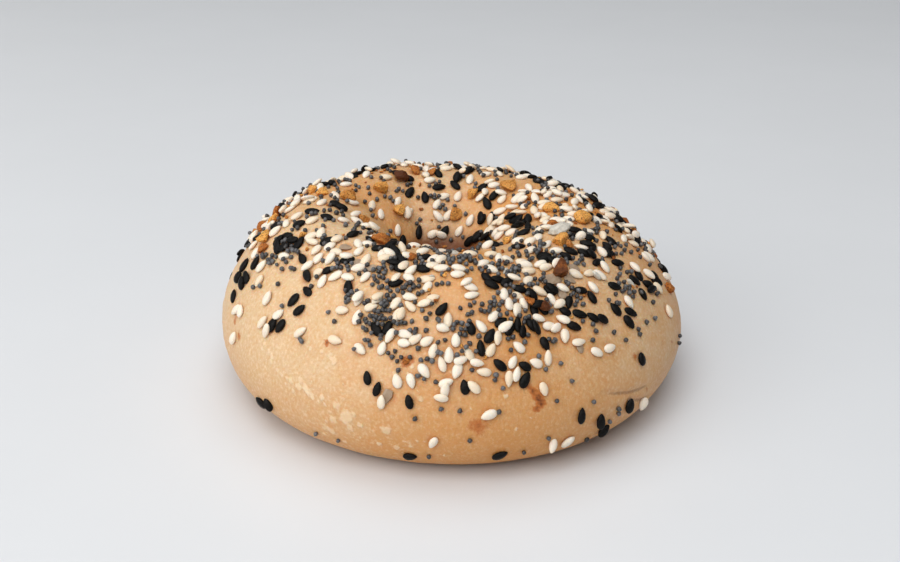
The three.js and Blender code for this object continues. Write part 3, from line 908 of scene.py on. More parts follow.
    def lay_all(self):
        draw = self.draw
        for across, down, turn, long in ONION_BY_EYE:
            self.lay_by_eye("onion", (across, down), turn, draw.random(), long * MM, lean=0.0)
        for name, pieces in (("black", BLACK_SESAME_BY_EYE), ("white", WHITE_SESAME_BY_EYE)):
            for across, down, turn, *lean in pieces:
                share = lean[0] if lean else None
                self.lay_by_eye(name, (across, down), turn, draw.random(), lean=share)
        for across, down, turn, long in SALT_BY_EYE:
            tint = draw.random()
            self.lay_by_eye("salt", (across, down), turn, tint, long * MM, self.SALT_LEAN)
        for across, down, turn, long, toast in FLAKES_BY_EYE:
            self.lay_by_eye("flake", (across, down), turn, toast, long * MM)
        self.strew(self.LARGE, self.sizes.coat, self.LARGE_TRIES)
        for pixel in POPPY_BY_EYE:
            self.lay_by_eye("poppy", pixel, draw.uniform(0, 360), draw.random())
        for across, down, spread, number in POPPY_DRIFTS:
            for _ in range(number):
                self.drift(across, down, spread)
        self.strew(self.FINE, self.sizes.fines, self.FINE_TRIES)
        self.let_stray(self.sizes.strays)


@functools.cache
def laid_toppings():
    toppings = Toppings(bpy.context.scene.bagel)
    toppings.lay_all()
    return toppings


# ---------------------------------------------------------------------------------------------
# Marks on the crust, one number for each of its points.


def away_from(points, place):
    """How far each point is from a place."""
    return np.linalg.norm(points - np.array(place), axis=1)


# Stains by chance, round the back: lengths are in millimetres and angles in degrees.
BACK_STAINS = 9
STAINS_PAST = 20
STAINS_OUTWARD = (20, 45)
STAIN_RADII = (0.7, 1.5)
STAIN_STRENGTHS = (0.5, 1.0)
STAIN_FADE = 1.5  # share of its radius at which a stain ends


def stained(toppings, points, draw):
    """Soft round spots, each strongest at its middle: listed ones, and some round the back."""
    spots = [
        (toppings.eye.hit((across, down))[0], radius * MM, strength)
        for across, down, radius, strength in STAINS
    ]
    for _ in range(BACK_STAINS):
        angle = angle_behind(draw, STAINS_PAST)
        middle = toppings.ring.points(angle, draw.uniform(*STAINS_OUTWARD) * MM)
        spots.append((middle, draw.uniform(*STAIN_RADII) * MM, draw.uniform(*STAIN_STRENGTHS)))
    stains = np.zeros(len(points))
    for middle, radius, strength in spots:
        away = away_from(points, middle)
        stains = np.maximum(stains, strength * hump(away, STAIN_FADE * radius))
    return stains


# Blisters by chance, in groups in a broken band low round the back.
BACK_BLISTER_GROUPS = 26
BLISTERS_PAST = 15  # degrees
BLISTER_BAND = (-2, 4)  # millimetres outward of the widest line: middle, spread
BLISTERS_IN_GROUP = (1, 5)
GROUP_SPREAD = (0.05, 1.6)  # radians round the ring, and millimetres outward
BACK_BLISTER_RADII = (0.4, 1.2)  # millimetres


def blistered(toppings, points, draw):
    """How far inside a blister each point is: 1 at its middle, 0 at its edge, less outside."""
    blisters = [(toppings.eye.hit(mark[:2])[0], mark[2] * MM) for mark in BLISTERS]
    spread_around, spread_outward = GROUP_SPREAD
    for _ in range(BACK_BLISTER_GROUPS):
        angle = angle_behind(draw, BLISTERS_PAST)
        outward = toppings.ring.widest + draw.gauss(*BLISTER_BAND) * MM
        for _ in range(draw.randint(*BLISTERS_IN_GROUP)):
            shift = draw.gauss(0, spread_around)
            step = draw.gauss(0, spread_outward) * MM
            middle = toppings.ring.points(angle + shift, outward + step)
            blisters.append((middle, draw.uniform(*BACK_BLISTER_RADII) * MM))
    inside = np.full(len(points), -1.0)
    for middle, radius in blisters:
        inside = np.maximum(inside, 1 - away_from(points, middle) / radius)
    return inside


CREASE_HALF_WIDTH = 1.3 * MM
CREASE_LASTS = 1.15  # more than 1, so a fold isn't quite gone at its last place


def creased(toppings, points):
    """1 along the folds and 0 away from them, and fading at their ends."""
    fold = np.zeros(len(points))
    for line in CREASES:
        bends = [np.array(toppings.eye.hit(pixel)[0]) for pixel in line]
        for index, (start, end) in enumerate(zip(bends, bends[1:])):
            run = end - start
            way = np.clip((points - start) @ run / (run @ run), 0, 1)
            away = away_from(points - start, way[:, None] * run)
            through = (index + way) / (len(bends) - 1)
            depth = np.sqrt(np.clip(through * (CREASE_LASTS - through) * 4, 0, 1))
            fold = np.maximum(fold, hump(away, CREASE_HALF_WIDTH) * depth)
    return fold


PRESSED_WITHIN = 4 * MM  # of a piece's middle
DIMPLE_EDGE = (0.5, 1.5)  # where it begins and ends, as shares of the piece's mean radius
# Round a seed the skin is toasted and also has painted contact shadow, where the seed shades it.
TOAST_FROM = 0.8  # share of the mean radius up to which the skin is toasted fully
TOAST_REACH = 1.1 * MM  # and how far past it the toasting ends
LEAST_TOAST = 0.25


def pressed(toppings, points):
    """Where seeds press the skin in, and the ring round each seed, which is toasted skin and partly
    painted contact shadow.
    """
    tree = KDTree(len(toppings.touching))
    for index, (middle, _, _) in enumerate(toppings.touching):
        tree.insert(middle, index)
    tree.balance()
    dimple, toast = np.zeros(len(points)), np.zeros(len(points))
    for index, point in enumerate(points):
        _, nearest, away = tree.find(Vector(point))
        if away > PRESSED_WITHIN:
            continue
        _, size, strength = toppings.touching[nearest]
        reach = (size[0] + size[1]) / 4
        dimple[index] = 1 - smoothstep(away, DIMPLE_EDGE[0] * reach, DIMPLE_EDGE[1] * reach)
        ring = 1 - smoothstep(away, TOAST_FROM * reach, reach + TOAST_REACH)
        toast[index] = ring * lerp(LEAST_TOAST, 1, strength**2) * min(reach / MM, 1)
    return dimple, toast


# Sides where the crust is paler, as direction, half width and share. On the two sides in front the
# paleness is painted sheen, strongest on the left where the key light falls.
PALE_AND_SHEEN_SIDES = ((-146, 74, 0.9), (-34, 54, 0.6), (92, 80, 0.5))  # direction, half width, share
PALE_AND_SHEEN_ALL_ROUND = 0.1
# Where marks come and go, in millimetres outward of the crest for the hole's wall, and above
# the floor for the others.
# The next three set where painted shade lies, deep down the hole's wall.
WALL_GOES = (-16, -10)
HOLE_SHADE_COMES = (6, 16)
HOLE_SHADE_GOES = (28.5, 32.5)
FOOT_GOES = (0.2, 3.0)
BAKE_GOES = (1, 25)
RELIEF_COMES = (0.0, 3.0)


def crust_marks(toppings, angle, outward, points):
    """Every mark's name and its values."""
    draw = random.Random(RANDOM_SEED + 1)
    height = points[:, 2] / MM
    wall = 1 - smoothstep(outward / MM, *WALL_GOES)
    dimple, toast = pressed(toppings, points)
    sides = (share * on_side(angle, towards, half) for towards, half, share in PALE_AND_SHEEN_SIDES)
    return {
        "fair": PALE_AND_SHEEN_ALL_ROUND + sum(sides),
        "dimple": dimple,
        "toast": toast,
        "blister": blistered(toppings, points, draw),
        "stain": stained(toppings, points, draw),
        "crease": creased(toppings, points),
        "under": 1 - smoothstep(height, *FOOT_GOES),
        "bake": 1 - smoothstep(height, *BAKE_GOES),
        # Painted shade deep in the hole: darker colour part way down the hole's wall.
        "hollow": wall * smoothstep(height, *HOLE_SHADE_COMES) * (1 - smoothstep(height, *HOLE_SHADE_GOES)),
        "free": smoothstep(height, *RELIEF_COMES),
    }


# ---------------------------------------------------------------------------------------------
# Meshes of single pieces, one unit long, wide and thick.


def new_mesh(name, vertices, faces, smooth=True):
    mesh = bpy.data.meshes.new(name)
    mesh.from_pydata([tuple(vertex) for vertex in vertices], [], faces)
    mesh.update()
    if smooth:
        mesh.shade_smooth()
    return mesh


def new_object(name, mesh, collection=None):
    made = bpy.data.objects.new(name, mesh)
    (collection or bpy.context.scene.collection).objects.link(made)
    return made


ATTRIBUTE_FIELDS = {"FLOAT": "value", "INT": "value", "FLOAT_VECTOR": "vector"}


def set_attribute(mesh, name, kind, values):
    attribute = mesh.attributes.new(name, kind, "POINT")
    values = np.array(values, dtype=np.int32 if kind == "INT" else np.float32)
    attribute.data.foreach_set(ATTRIBUTE_FIELDS[kind], values.ravel())


def unit_mesh(name, points, faces, smooth=True):
    """A mesh scaled to fill a box one unit each way, which remembers each point's place."""
    points = np.array([tuple(point) for point in points])
    low, high = points.min(axis=0), points.max(axis=0)
    points = (points - (low + high) / 2) / (high - low)
    mesh = new_mesh(name, points, faces, smooth)
    set_attribute(mesh, "place", "FLOAT_VECTOR", points)
    return mesh


def spindle(stations, sides, place):
    """Points and faces of a closed body along Y, from place(station, turn) at each station."""
    points = [place(stations[0], 0)]
    for station in stations[1:-1]:
        points += [place(station, 2 * math.pi * side / sides) for side in range(sides)]
    points.append(place(stations[-1], 0))
    faces, rings = [], len(stations) - 2
    for side in range(sides):
        after = (side + 1) % sides
        faces.append((0, 1 + side, 1 + after))
        for ring in range(rings - 1):
            start = 1 + ring * sides
            faces.append((start + after, start + side, start + sides + side, start + sides + after))
        start = 1 + (rings - 1) * sides
        faces.append((start + after, start + side, len(points) - 1))
    return points, faces


SESAME_STATIONS = (0, 0.04, 0.16, 0.36, 0.6, 0.82, 0.95, 1)
SESAME_SIDES = 8
SESAME_RIBS = 4
POPPY_STATIONS = (0, 0.12, 0.36, 0.64, 0.88, 1)
POPPY_SIDES = 6
CUT_DEPTHS = (0.38, 0.82)  # of a chip's flats, from its middle


def sesame_mesh(name, draw, ribs):
    """A flat drop, blunt at one end and pointed at the other, with ribs if it has its hull."""
    taper = draw.uniform(0.6, 0.78)
    blunt = 0.5
    fullest = blunt / (blunt + taper)
    most = fullest**blunt * (1 - fullest) ** taper
    bend = draw.uniform(-0.05, 0.05)
    lean = draw.uniform(-0.15, 0.15)

    def place(t, turn):
        half = 0.5 * t**blunt * (1 - t) ** taper / most
        rib = 1 - ribs * (0.5 + 0.5 * math.cos(turn * SESAME_RIBS))
        thick = half * (0.62 + 0.25 * t)
        x = half * math.cos(turn) * rib + bend * math.sin(math.pi * t)
        z = thick * math.sin(turn) * rib * (1 + lean * math.cos(turn))
        return x, t, z

    return unit_mesh(name, *spindle(SESAME_STATIONS, SESAME_SIDES, place))


def poppy_mesh(name, draw):
    """A kidney, dented along one side."""
    dent = draw.uniform(0.1, 0.22)

    def place(t, turn):
        half = 0.5 * max(math.sin(math.pi * t), 0) ** 0.75
        x = half * math.cos(turn) - dent * math.sin(math.pi * t) * (1 - 0.5 * math.cos(turn))
        return x, t, half * math.sin(turn)

    return unit_mesh(name, *spindle(POPPY_STATIONS, POPPY_SIDES, place))


def chip_mesh(name, draw, corners, cuts, curl, rough=0.09):
    """A broken chip: a ball cut flat on several sides, roughened and curled."""
    sides = [Vector([draw.gauss(0, 1) for _ in range(3)]).normalized() for _ in range(cuts)]
    depths = [draw.uniform(*CUT_DEPTHS) for _ in sides]
    body = bmesh.new()
    for step in range(corners):
        rise = 1 - 2 * (step + 0.5) / corners
        turn = step * math.pi * (3 - math.sqrt(5))  # golden angles spread the corners evenly
        level = math.sqrt(1 - rise * rise)
        point = Vector((level * math.cos(turn), level * math.sin(turn), rise))
        reach = min([1.0] + [d / s.dot(point) for s, d in zip(sides, depths) if s.dot(point) > d])
        body.verts.new(point * reach)
    bmesh.ops.convex_hull(body, input=body.verts)
    loose = [vertex for vertex in body.verts if not vertex.link_faces]
    bmesh.ops.delete(body, geom=loose, context="VERTS")
    for vertex in body.verts:
        vertex.co *= draw.uniform(1 - rough, 1 + rough)
        vertex.co.z += curl * (vertex.co.x**2 - 0.5 * vertex.co.y**2) * 2
    body.verts.index_update()
    points = [vertex.co.copy() for vertex in body.verts]
    faces = [[vertex.index for vertex in face.verts] for face in body.faces]
    body.free()
    return unit_mesh(name, points, faces, smooth=False)


# ---------------------------------------------------------------------------------------------
# Node trees.


def rgba(colour):
    return (*colour, 1.0)


class Graph:
    """A node tree under construction. Each value is a number, a colour or another's socket."""

    def __init__(self, tree):
        self.tree = tree

    def node(self, kind, inputs=(), **settings):
        made = self.tree.nodes.new(kind)
        for name, value in settings.items():
            setattr(made, name, value)
        for key, value in dict(inputs).items():
            self.feed(made.inputs[key], value)
        return made

    def feed(self, socket, value):
        if isinstance(value, bpy.types.NodeSocket):
            self.tree.links.new(value, socket)
        else:
            socket.default_value = value

    def math(self, operation, *values):
        return self.node("ShaderNodeMath", enumerate(values), operation=operation).outputs[0]

    def scaled(self, vector, by):
        inputs = {0: vector, "Scale": by}
        return self.node("ShaderNodeVectorMath", inputs, operation="SCALE").outputs[0]

    def times(self, vector, by):
        inputs = {0: vector, 1: by}
        return self.node("ShaderNodeVectorMath", inputs, operation="MULTIPLY").outputs[0]

    def ramp(self, value, low, high):
        """0 below low, 1 above high, and smooth between."""
        inputs = {"Value": value, "From Min": low, "From Max": high}
        return self.node("ShaderNodeMapRange", inputs, interpolation_type="SMOOTHSTEP").outputs[0]

    def between(self, value, low, high):
        """low where the value is 0, and high where it is 1."""
        inputs = {"Value": value, "To Min": low, "To Max": high}
        return self.node("ShaderNodeMapRange", inputs).outputs[0]

    def mix(self, way, a, b):
        """Colour a where way is 0, and b where it is 1. The node's colours are inputs 6 and 7."""
        inputs = {0: way, 6: a, 7: b}
        return self.node("ShaderNodeMix", inputs, data_type="RGBA").outputs[2]

    def noise(self, vector, size, detail=2.0, roughness=0.5):
        """Noise between 0 and 1, whose patches are about that size."""
        scale = self.math("DIVIDE", 1.0, size)
        inputs = {"Vector": vector, "Scale": scale, "Detail": detail, "Roughness": roughness}
        return self.node("ShaderNodeTexNoise", inputs).outputs[0]

    def attribute(self, name, output="Fac"):
        """A named attribute of the mesh, in a material."""
        return self.node("ShaderNodeAttribute", attribute_name=name).outputs[output]

    def field(self, name, kind="FLOAT"):
        """A named attribute of the mesh, in Geometry Nodes."""
        made = self.node("GeometryNodeInputNamedAttribute", {"Name": name}, data_type=kind)
        return made.outputs["Attribute"]

    def place(self):
        return self.node("ShaderNodeTexCoord").outputs["Object"]

    def group(self, tree, **inputs):
        made = self.node("ShaderNodeGroup", node_tree=tree)
        for name, value in inputs.items():
            self.feed(made.inputs[name], value)
        return made.outputs

    def grain(self, size, depth, normal=None):
        """The surface's normal, bent by fine grain."""
        if normal is None:
            normal = self.node("ShaderNodeNewGeometry").outputs["Normal"]
        return self.group(grain_group(), Size=size, Depth=depth, Normal=normal)["Normal"]

    def blotches(self, size, low, high, contrast):
        """Colour that wanders between two."""
        inputs = {"Size": size, "Low": low, "High": high, "Contrast": contrast}
        return self.group(blotches_group(), **inputs)["Color"]


class Finish(Graph):
    """A material under construction, with its shader."""

    def __init__(self, name):
        self.material = bpy.data.materials.new(name)
        self.material.use_nodes = True
        super().__init__(self.material.node_tree)
        self.shader = self.tree.nodes["Principled BSDF"]

    def finish(self, **inputs):
        for name, value in inputs.items():
            self.feed(self.shader.inputs[name.replace("_", " ")], value)
        return self.material


def new_tree(name, kind, inputs, outputs):
    """A node group with named sockets: the group, its graph, and what goes in and comes out."""
    tree = bpy.data.node_groups.new(name, kind)
    for in_out, sockets in (("INPUT", inputs), ("OUTPUT", outputs)):
        for label, socket_type in sockets.items():
            tree.interface.new_socket(label, in_out=in_out, socket_type="NodeSocket" + socket_type)
    graph = Graph(tree)
    return tree, graph, graph.node("NodeGroupInput").outputs, graph.node("NodeGroupOutput").inputs


@functools.cache
def grain_group():
    """Fine unevenness of a surface: noise of one size, as a bent normal."""
    tree, graph, given, result = new_tree(
        "Grain", "ShaderNodeTree",
        {"Size": "Float", "Depth": "Float", "Normal": "Vector"}, {"Normal": "Vector"},
    )
    height = graph.noise(graph.place(), given["Size"], 3.0, 0.55)
    inputs = {"Distance": given["Depth"], "Height": height, "Normal": given["Normal"]}
    graph.feed(result["Normal"], graph.node("ShaderNodeBump", inputs).outputs[0])
    return tree


@functools.cache
def blotches_group():
    """Colour that wanders between two over a surface, in patches of one size."""
    tree, graph, given, result = new_tree(
        "Blotches", "ShaderNodeTree",
        {"Size": "Float", "Low": "Color", "High": "Color", "Contrast": "Float"},
        {"Color": "Color"},
    )
    half = graph.math("DIVIDE", 0.5, given["Contrast"])
    low, high = graph.math("SUBTRACT", 0.5, half), graph.math("ADD", 0.5, half)
    mask = graph.ramp(graph.noise(graph.place(), given["Size"], 3.0, 0.6), low, high)
    graph.feed(result["Color"], graph.mix(mask, given["Low"], given["High"]))
    return tree


BLISTER_RAGGEDNESS = 1.7


def blister_mask(graph, place, inside):
    """Flat patches with ragged edges, from how far inside one a place is."""
    ragged = graph.math("SUBTRACT", graph.noise(place, 1.6 * MM, 3.0, 0.6), 0.5)
    inside = graph.math("MULTIPLY_ADD", ragged, BLISTER_RAGGEDNESS, inside)
    return graph.ramp(inside, 0.0, 0.45)


MOTTLE_STRETCH = (1.0, 1.0, 0.85)


def baked_tone(graph, crust, place):
    """Golden skin, deeper and paler by turns, with a fine mottle. The paleness is partly random tone
    and partly painted sheen on the front sides, strongest on the left where the key light falls.
    """
    fair = graph.attribute("fair")
    wander = graph.between(graph.noise(place, 22 * MM, 3.0, 0.6), -0.4, 0.4)
    golden = graph.ramp(graph.math("ADD", fair, wander), -0.05, 0.45)
    tone = graph.mix(golden, rgba(crust.deep), rgba(crust.golden))
    wander = graph.between(graph.noise(place, 7 * MM, 4.0, 0.6), -0.6, 0.6)
    pale = graph.ramp(graph.math("ADD", fair, wander), 0.3, 1.0)
    tone = graph.mix(graph.math("MULTIPLY", pale, 0.9), tone, rgba(crust.pale))
    bake = graph.math("MULTIPLY", graph.attribute("bake"), 0.7)
    tone = graph.mix(bake, tone, rgba(crust.deep))
    mottle = graph.noise(graph.times(place, MOTTLE_STRETCH), 0.65 * MM, 3.0, 0.6)
    pale_mottle = graph.ramp(mottle, 0.48, 0.72)
    pale_mottle = graph.math("MULTIPLY", pale_mottle, graph.between(fair, 0.15, 0.6))
    tone = graph.mix(pale_mottle, tone, rgba(crust.blister))
    dark_mottle = graph.math("MULTIPLY", graph.ramp(mottle, 0.5, 0.25), 0.45)
    return graph.mix(dark_mottle, tone, rgba(crust.deep))


def marked_tone(graph, crust, place, tone, blister):
    """The skin's tone with rings round the seeds, which are toasted and partly painted contact shadow,
    blisters, painted shade deep in the hole, the foot, stains, and painted shade along the folds.
    """
    uneven = graph.between(graph.noise(place, 2.2 * MM, 3.0), 0.2, 1.5)
    # Rings round the seeds: toasted skin, and partly painted contact shadow.
    toast = graph.math("MULTIPLY", graph.attribute("toast"), uneven)
    tone = graph.mix(graph.math("MULTIPLY", toast, 0.8), tone, rgba(crust.toasted))
    faint = graph.between(graph.noise(place, 4 * MM), 0.15, 1.15)
    tone = graph.mix(graph.math("MULTIPLY", blister, faint), tone, rgba(crust.blister))
    # Painted shade deep in the hole, where the crust is darkened towards burnt.
    hollow = graph.math("MULTIPLY", graph.attribute("hollow"), 0.93)
    tone = graph.mix(hollow, tone, rgba(crust.burnt_and_shade))
    tray = graph.blotches(5 * MM, rgba(crust.underside), rgba(crust.deep), 1.6)
    tone = graph.mix(graph.attribute("under"), tone, tray)
    ragged = graph.between(graph.noise(place, 0.9 * MM, 3.0, 0.65), -0.45, 0.45)
    ragged = graph.math("ADD", graph.attribute("stain"), ragged)
    tone = graph.mix(graph.ramp(ragged, 0.1, 0.5), tone, rgba(crust.toasted))
    tone = graph.mix(graph.ramp(ragged, 0.45, 0.95), tone, rgba(crust.burnt_and_shade))
    # Painted shade along the folds: a darker line in their grooves.
    crease = graph.math("MULTIPLY", graph.ramp(graph.attribute("crease"), 0.6, 1.0), 0.5)
    return graph.mix(crease, tone, rgba(crust.burnt_and_shade))


def crust_finish(crust):
    graph = Finish("baked_crust")
    place = graph.place()
    blister = blister_mask(graph, place, graph.attribute("blister"))
    tone = marked_tone(graph, crust, place, baked_tone(graph, crust, place), blister)
    dull = graph.math("MAXIMUM", blister, graph.attribute("under"))
    sheen = graph.between(graph.noise(place, 3 * MM), 0.42, 0.58)
    roughness = graph.math("MULTIPLY_ADD", dull, 0.2, sheen)
    step = graph.node("ShaderNodeBump", {"Distance": 0.1 * MM, "Height": blister}).outputs[0]
    return graph.finish(
        Base_Color=tone,
        Roughness=roughness,
        Specular_IOR_Level=0.45,
        Normal=graph.grain(0.7 * MM, 0.2 * MM, step),
        Subsurface_Weight=0.35,
        Subsurface_Radius=(1.0, 0.4, 0.15),
        Subsurface_Scale=1.2 * MM,
    )


def white_sesame_finish(toppings):
    graph = Finish("hulled_sesame")
    toasted = graph.ramp(graph.attribute("tint"), 0.45, 1.1)
    tone = graph.mix(toasted, rgba(toppings.white), rgba(toppings.toasted_white))
    along = graph.node("ShaderNodeSeparateXYZ", {0: graph.attribute("place", "Vector")})
    tip = graph.math("MULTIPLY", graph.ramp(along.outputs["Y"], 0.28, 0.52), 0.6)
    tone = graph.mix(tip, tone, rgba(toppings.toasted_white))
    uneven = graph.blotches(0.9 * MM, rgba(toppings.toasted_white), rgba(toppings.white), 1.5)
    tone = graph.mix(0.3, tone, uneven)
    return graph.finish(
        Base_Color=tone,
        Roughness=0.42,
        Normal=graph.grain(0.35 * MM, 0.03 * MM),
        Subsurface_Weight=0.3,
        Subsurface_Radius=(1.0, 0.75, 0.5),
        Subsurface_Scale=0.7 * MM,
    )


def black_sesame_finish(toppings):
    graph = Finish("black_sesame")
    tone = graph.blotches(0.5 * MM, rgba(toppings.black), rgba(toppings.worn_black), 2.2)
    return graph.finish(
        Base_Color=tone,
        Roughness=0.38,
        Normal=graph.grain(0.22 * MM, 0.08 * MM),
        Specular_IOR_Level=0.1,
    )


def poppy_finish(toppings):
    graph = Finish("poppy_seed")
    slate = graph.ramp(graph.attribute("tint"), 0.3, 1.05)
    tone = graph.mix(slate, rgba(toppings.dark_poppy), rgba(toppings.poppy))
    uneven = graph.blotches(0.3 * MM, rgba(toppings.dark_poppy), rgba(toppings.poppy), 3.0)
    tone = graph.mix(0.4, tone, uneven)
    return graph.finish(
        Base_Color=tone,
        Roughness=0.36,
        Normal=graph.grain(0.25 * MM, 0.1 * MM),
    )


def flake_finish(toppings, name):
    graph = Finish(name)
    place = graph.place()
    browned = graph.between(graph.noise(place, 1.3 * MM, 4.0, 0.65), -0.5, 0.7)
    browned = graph.math("ADD", graph.attribute("tint"), browned)
    brown = graph.ramp(browned, 0.05, 0.85)
    tone = graph.mix(brown, rgba(toppings.flake), rgba(toppings.brown_flake))
    tone = graph.mix(graph.ramp(browned, 0.7, 1.5), tone, rgba(toppings.dark_flake))
    pits = graph.math("MULTIPLY", graph.ramp(graph.noise(place, 0.28 * MM), 0.5, 0.68), 0.8)
    tone = graph.mix(pits, tone, rgba(toppings.flake_pit))
    return graph.finish(
        Base_Color=tone,
        Roughness=0.48,
        Normal=graph.grain(0.4 * MM, 0.3 * MM),
        Specular_IOR_Level=0.2,
        Subsurface_Weight=0.2,
        Subsurface_Radius=(1.0, 0.5, 0.2),
        Subsurface_Scale=0.8 * MM,
    )


def onion_finish(toppings):
    graph = Finish("dried_onion")
    tone = graph.blotches(0.8 * MM, rgba(toppings.onion), rgba(toppings.pale_onion), 1.5)
    return graph.finish(
        Base_Color=tone,
        Roughness=0.35,
        Normal=graph.grain(0.4 * MM, 0.05 * MM),
        Transmission_Weight=0.35,
        IOR=1.4,
    )


def salt_finish(toppings):
    graph = Finish("coarse_salt")
    cloudy = graph.blotches(0.7 * MM, rgba(toppings.salt), rgba(toppings.clear_salt), 1.8)
    return graph.finish(
        Base_Color=cloudy,
        Roughness=0.3,
        Normal=graph.grain(0.5 * MM, 0.08 * MM),
        Transmission_Weight=0.25,
        IOR=1.5,
    )


# ---------------------------------------------------------------------------------------------
# Geometry Nodes: the crust's relief, and copies of a piece wherever one came to rest.


def crust_relief_tree():
    """Moves each point of the crust in or out along its normal, except on the flat foot."""
    sizes = ("Swell Size", "Swell Height", "Pucker Size", "Pucker Height", "Blister Height",
             "Dimple Depth", "Crease Depth")
    tree, graph, given, result = new_tree(
        "Crust relief", "GeometryNodeTree",
        {"Geometry": "Geometry", **{size: "Float" for size in sizes}, "Material": "Material"},
        {"Geometry": "Geometry"},
    )
    place = graph.node("GeometryNodeInputPosition").outputs[0]

    def wavy(size, height):
        waves = graph.math("SUBTRACT", graph.noise(place, given[size], 1.0), 0.5)
        return graph.math("MULTIPLY", waves, given[height])

    height = graph.math("ADD", wavy("Swell Size", "Swell Height"),
                        wavy("Pucker Size", "Pucker Height"))
    blister = blister_mask(graph, place, graph.field("blister"))
    height = graph.math("MULTIPLY_ADD", blister, given["Blister Height"], height)
    for mark, depth in (("dimple", "Dimple Depth"), ("crease", "Crease Depth")):
        sunk = graph.math("MULTIPLY", graph.field(mark), given[depth])
        height = graph.math("SUBTRACT", height, sunk)
    height = graph.math("MULTIPLY", height, graph.field("free"))
    normal = graph.node("GeometryNodeInputNormal").outputs[0]
    moved = graph.node("GeometryNodeSetPosition", {
        "Geometry": given["Geometry"], "Offset": graph.scaled(normal, height),
    })
    real = graph.node("GeometryNodeRealizeInstances", {"Geometry": moved.outputs[0]})
    inputs = {"Geometry": real.outputs[0], "Material": given["Material"]}
    graph.feed(result["Geometry"], graph.node("GeometryNodeSetMaterial", inputs).outputs[0])
    return tree


@functools.cache
def strewn_tree():
    """Puts one of several shapes at each point, turned and scaled as the point says."""
    tree, graph, given, result = new_tree(
        "Strewn pieces", "GeometryNodeTree",
        {"Geometry": "Geometry", "Shapes": "Collection", "Width": "Float", "Length": "Float",
         "Thickness": "Float", "Material": "Material"},
        {"Geometry": "Geometry"},
    )
    shapes = graph.node("GeometryNodeCollectionInfo", {
        "Collection": given["Shapes"], "Separate Children": True, "Reset Children": True,
    })
    turn = graph.node("FunctionNodeEulerToRotation", {0: graph.field("turn", "FLOAT_VECTOR")})
    size = graph.node("ShaderNodeCombineXYZ", {
        0: given["Width"], 1: given["Length"], 2: given["Thickness"],
    })
    copies = graph.node("GeometryNodeInstanceOnPoints", {
        "Points": given["Geometry"],
        "Instance": shapes.outputs[0],
        "Pick Instance": True,
        "Instance Index": graph.field("shape", "INT"),
        "Rotation": turn.outputs[0],
        "Scale": graph.times(graph.field("scale", "FLOAT_VECTOR"), size.outputs[0]),
    })
    real = graph.node("GeometryNodeRealizeInstances", {"Geometry": copies.outputs[0]})
    inputs = {"Geometry": real.outputs[0], "Material": given["Material"]}
    graph.feed(result["Geometry"], graph.node("GeometryNodeSetMaterial", inputs).outputs[0])
    return tree


def run_tree(made, tree, **inputs):
    """Runs Geometry Nodes on an object and keeps the result as its plain mesh."""
    modifier = made.modifiers.new(tree.name, "NODES")
    modifier.node_group = tree
    for item in tree.interface.items_tree:
        name = item.name.replace(" ", "_")
        if item.in_out == "INPUT" and name in inputs:
            modifier[item.identifier] = inputs[name]
    depsgraph = bpy.context.evaluated_depsgraph_get()
    evaluated = made.evaluated_get(depsgraph)
    result = bpy.data.meshes.new_from_object(evaluated, depsgraph=depsgraph)
    made.modifiers.remove(modifier)
    before = made.data
    made.data = result
    bpy.data.meshes.remove(before)
    result.name = made.name
    return made


def strewn_piece(name, kind, shapes, material):
    """All the pieces of one kind, as one mesh."""
    points = new_mesh(name, kind.middles, [])
    set_attribute(points, "turn", "FLOAT_VECTOR", [tuple(turn) for turn in kind.turns])
    set_attribute(points, "scale", "FLOAT_VECTOR", kind.scales)
    set_attribute(points, "shape", "INT", kind.chosen)
    set_attribute(points, "tint", "FLOAT", kind.tints)
    store = bpy.data.collections.new(name + "_shapes")
    bpy.context.scene.collection.children.link(store)
    for index, mesh in enumerate(shapes):
        new_object(f"{name}_shape_{index}", mesh, store)
    width, long, thickness = (float(size) for size in kind.size)
    made = run_tree(new_object(name, points), strewn_tree(), Shapes=store, Width=width,
                    Length=long, Thickness=thickness, Material=material)
    for shape in list(store.objects):
        mesh = shape.data
        bpy.data.objects.remove(shape)
        bpy.data.meshes.remove(mesh)
    bpy.data.collections.remove(store)
    for attribute in ("turn", "scale", "shape"):
        made.data.attributes.remove(made.data.attributes[attribute])
    attach(made)


def attach(made):
    """Makes a piece stand for the bagel's solid, and move with it."""
    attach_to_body(made, "root")
    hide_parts(NODE)


def strewn_kind(name, kind_name, make_shape, material):
    """Makes the shapes of one kind of topping, and its pieces from them."""
    kind = laid_toppings().kinds[kind_name]
    draw = random.Random(f"{RANDOM_SEED} {kind_name}")
    shapes = [make_shape(f"{name}_{index}", draw) for index in range(kind.shapes)]
    strewn_piece(name, kind, shapes, material)


# ---------------------------------------------------------------------------------------------
# Operators, one for each piece or group of like pieces, and one for the stage.


class BAGEL_OT_dough(bpy.types.Operator):
    """Make the ring of dough with its baked crust"""

    bl_idname = "bagel.dough"
    bl_label = "Dough"

    def execute(self, context):
        settings = context.scene.bagel
        dough, crust = settings.dough, settings.crust
        toppings = laid_toppings()
        angle, outward = toppings.ring.grid(dough.around, dough.across)
        points = toppings.ring.points(angle, outward)
        mesh = new_mesh("dough", points, ring_faces(dough.around, dough.across))
        for name, values in crust_marks(toppings, angle, outward, points).items():
            set_attribute(mesh, name, "FLOAT", values)
        made = run_tree(
            new_object("dough", mesh), crust_relief_tree(),
            Swell_Size=crust.swell_size, Swell_Height=crust.swell_height,
            Pucker_Size=crust.pucker_size, Pucker_Height=crust.pucker_height,
            Blister_Height=crust.blister_height, Dimple_Depth=crust.dimple_depth,
            Crease_Depth=crust.crease_depth, Material=crust_finish(crust),
        )
        attach(made)
        return {"FINISHED"}


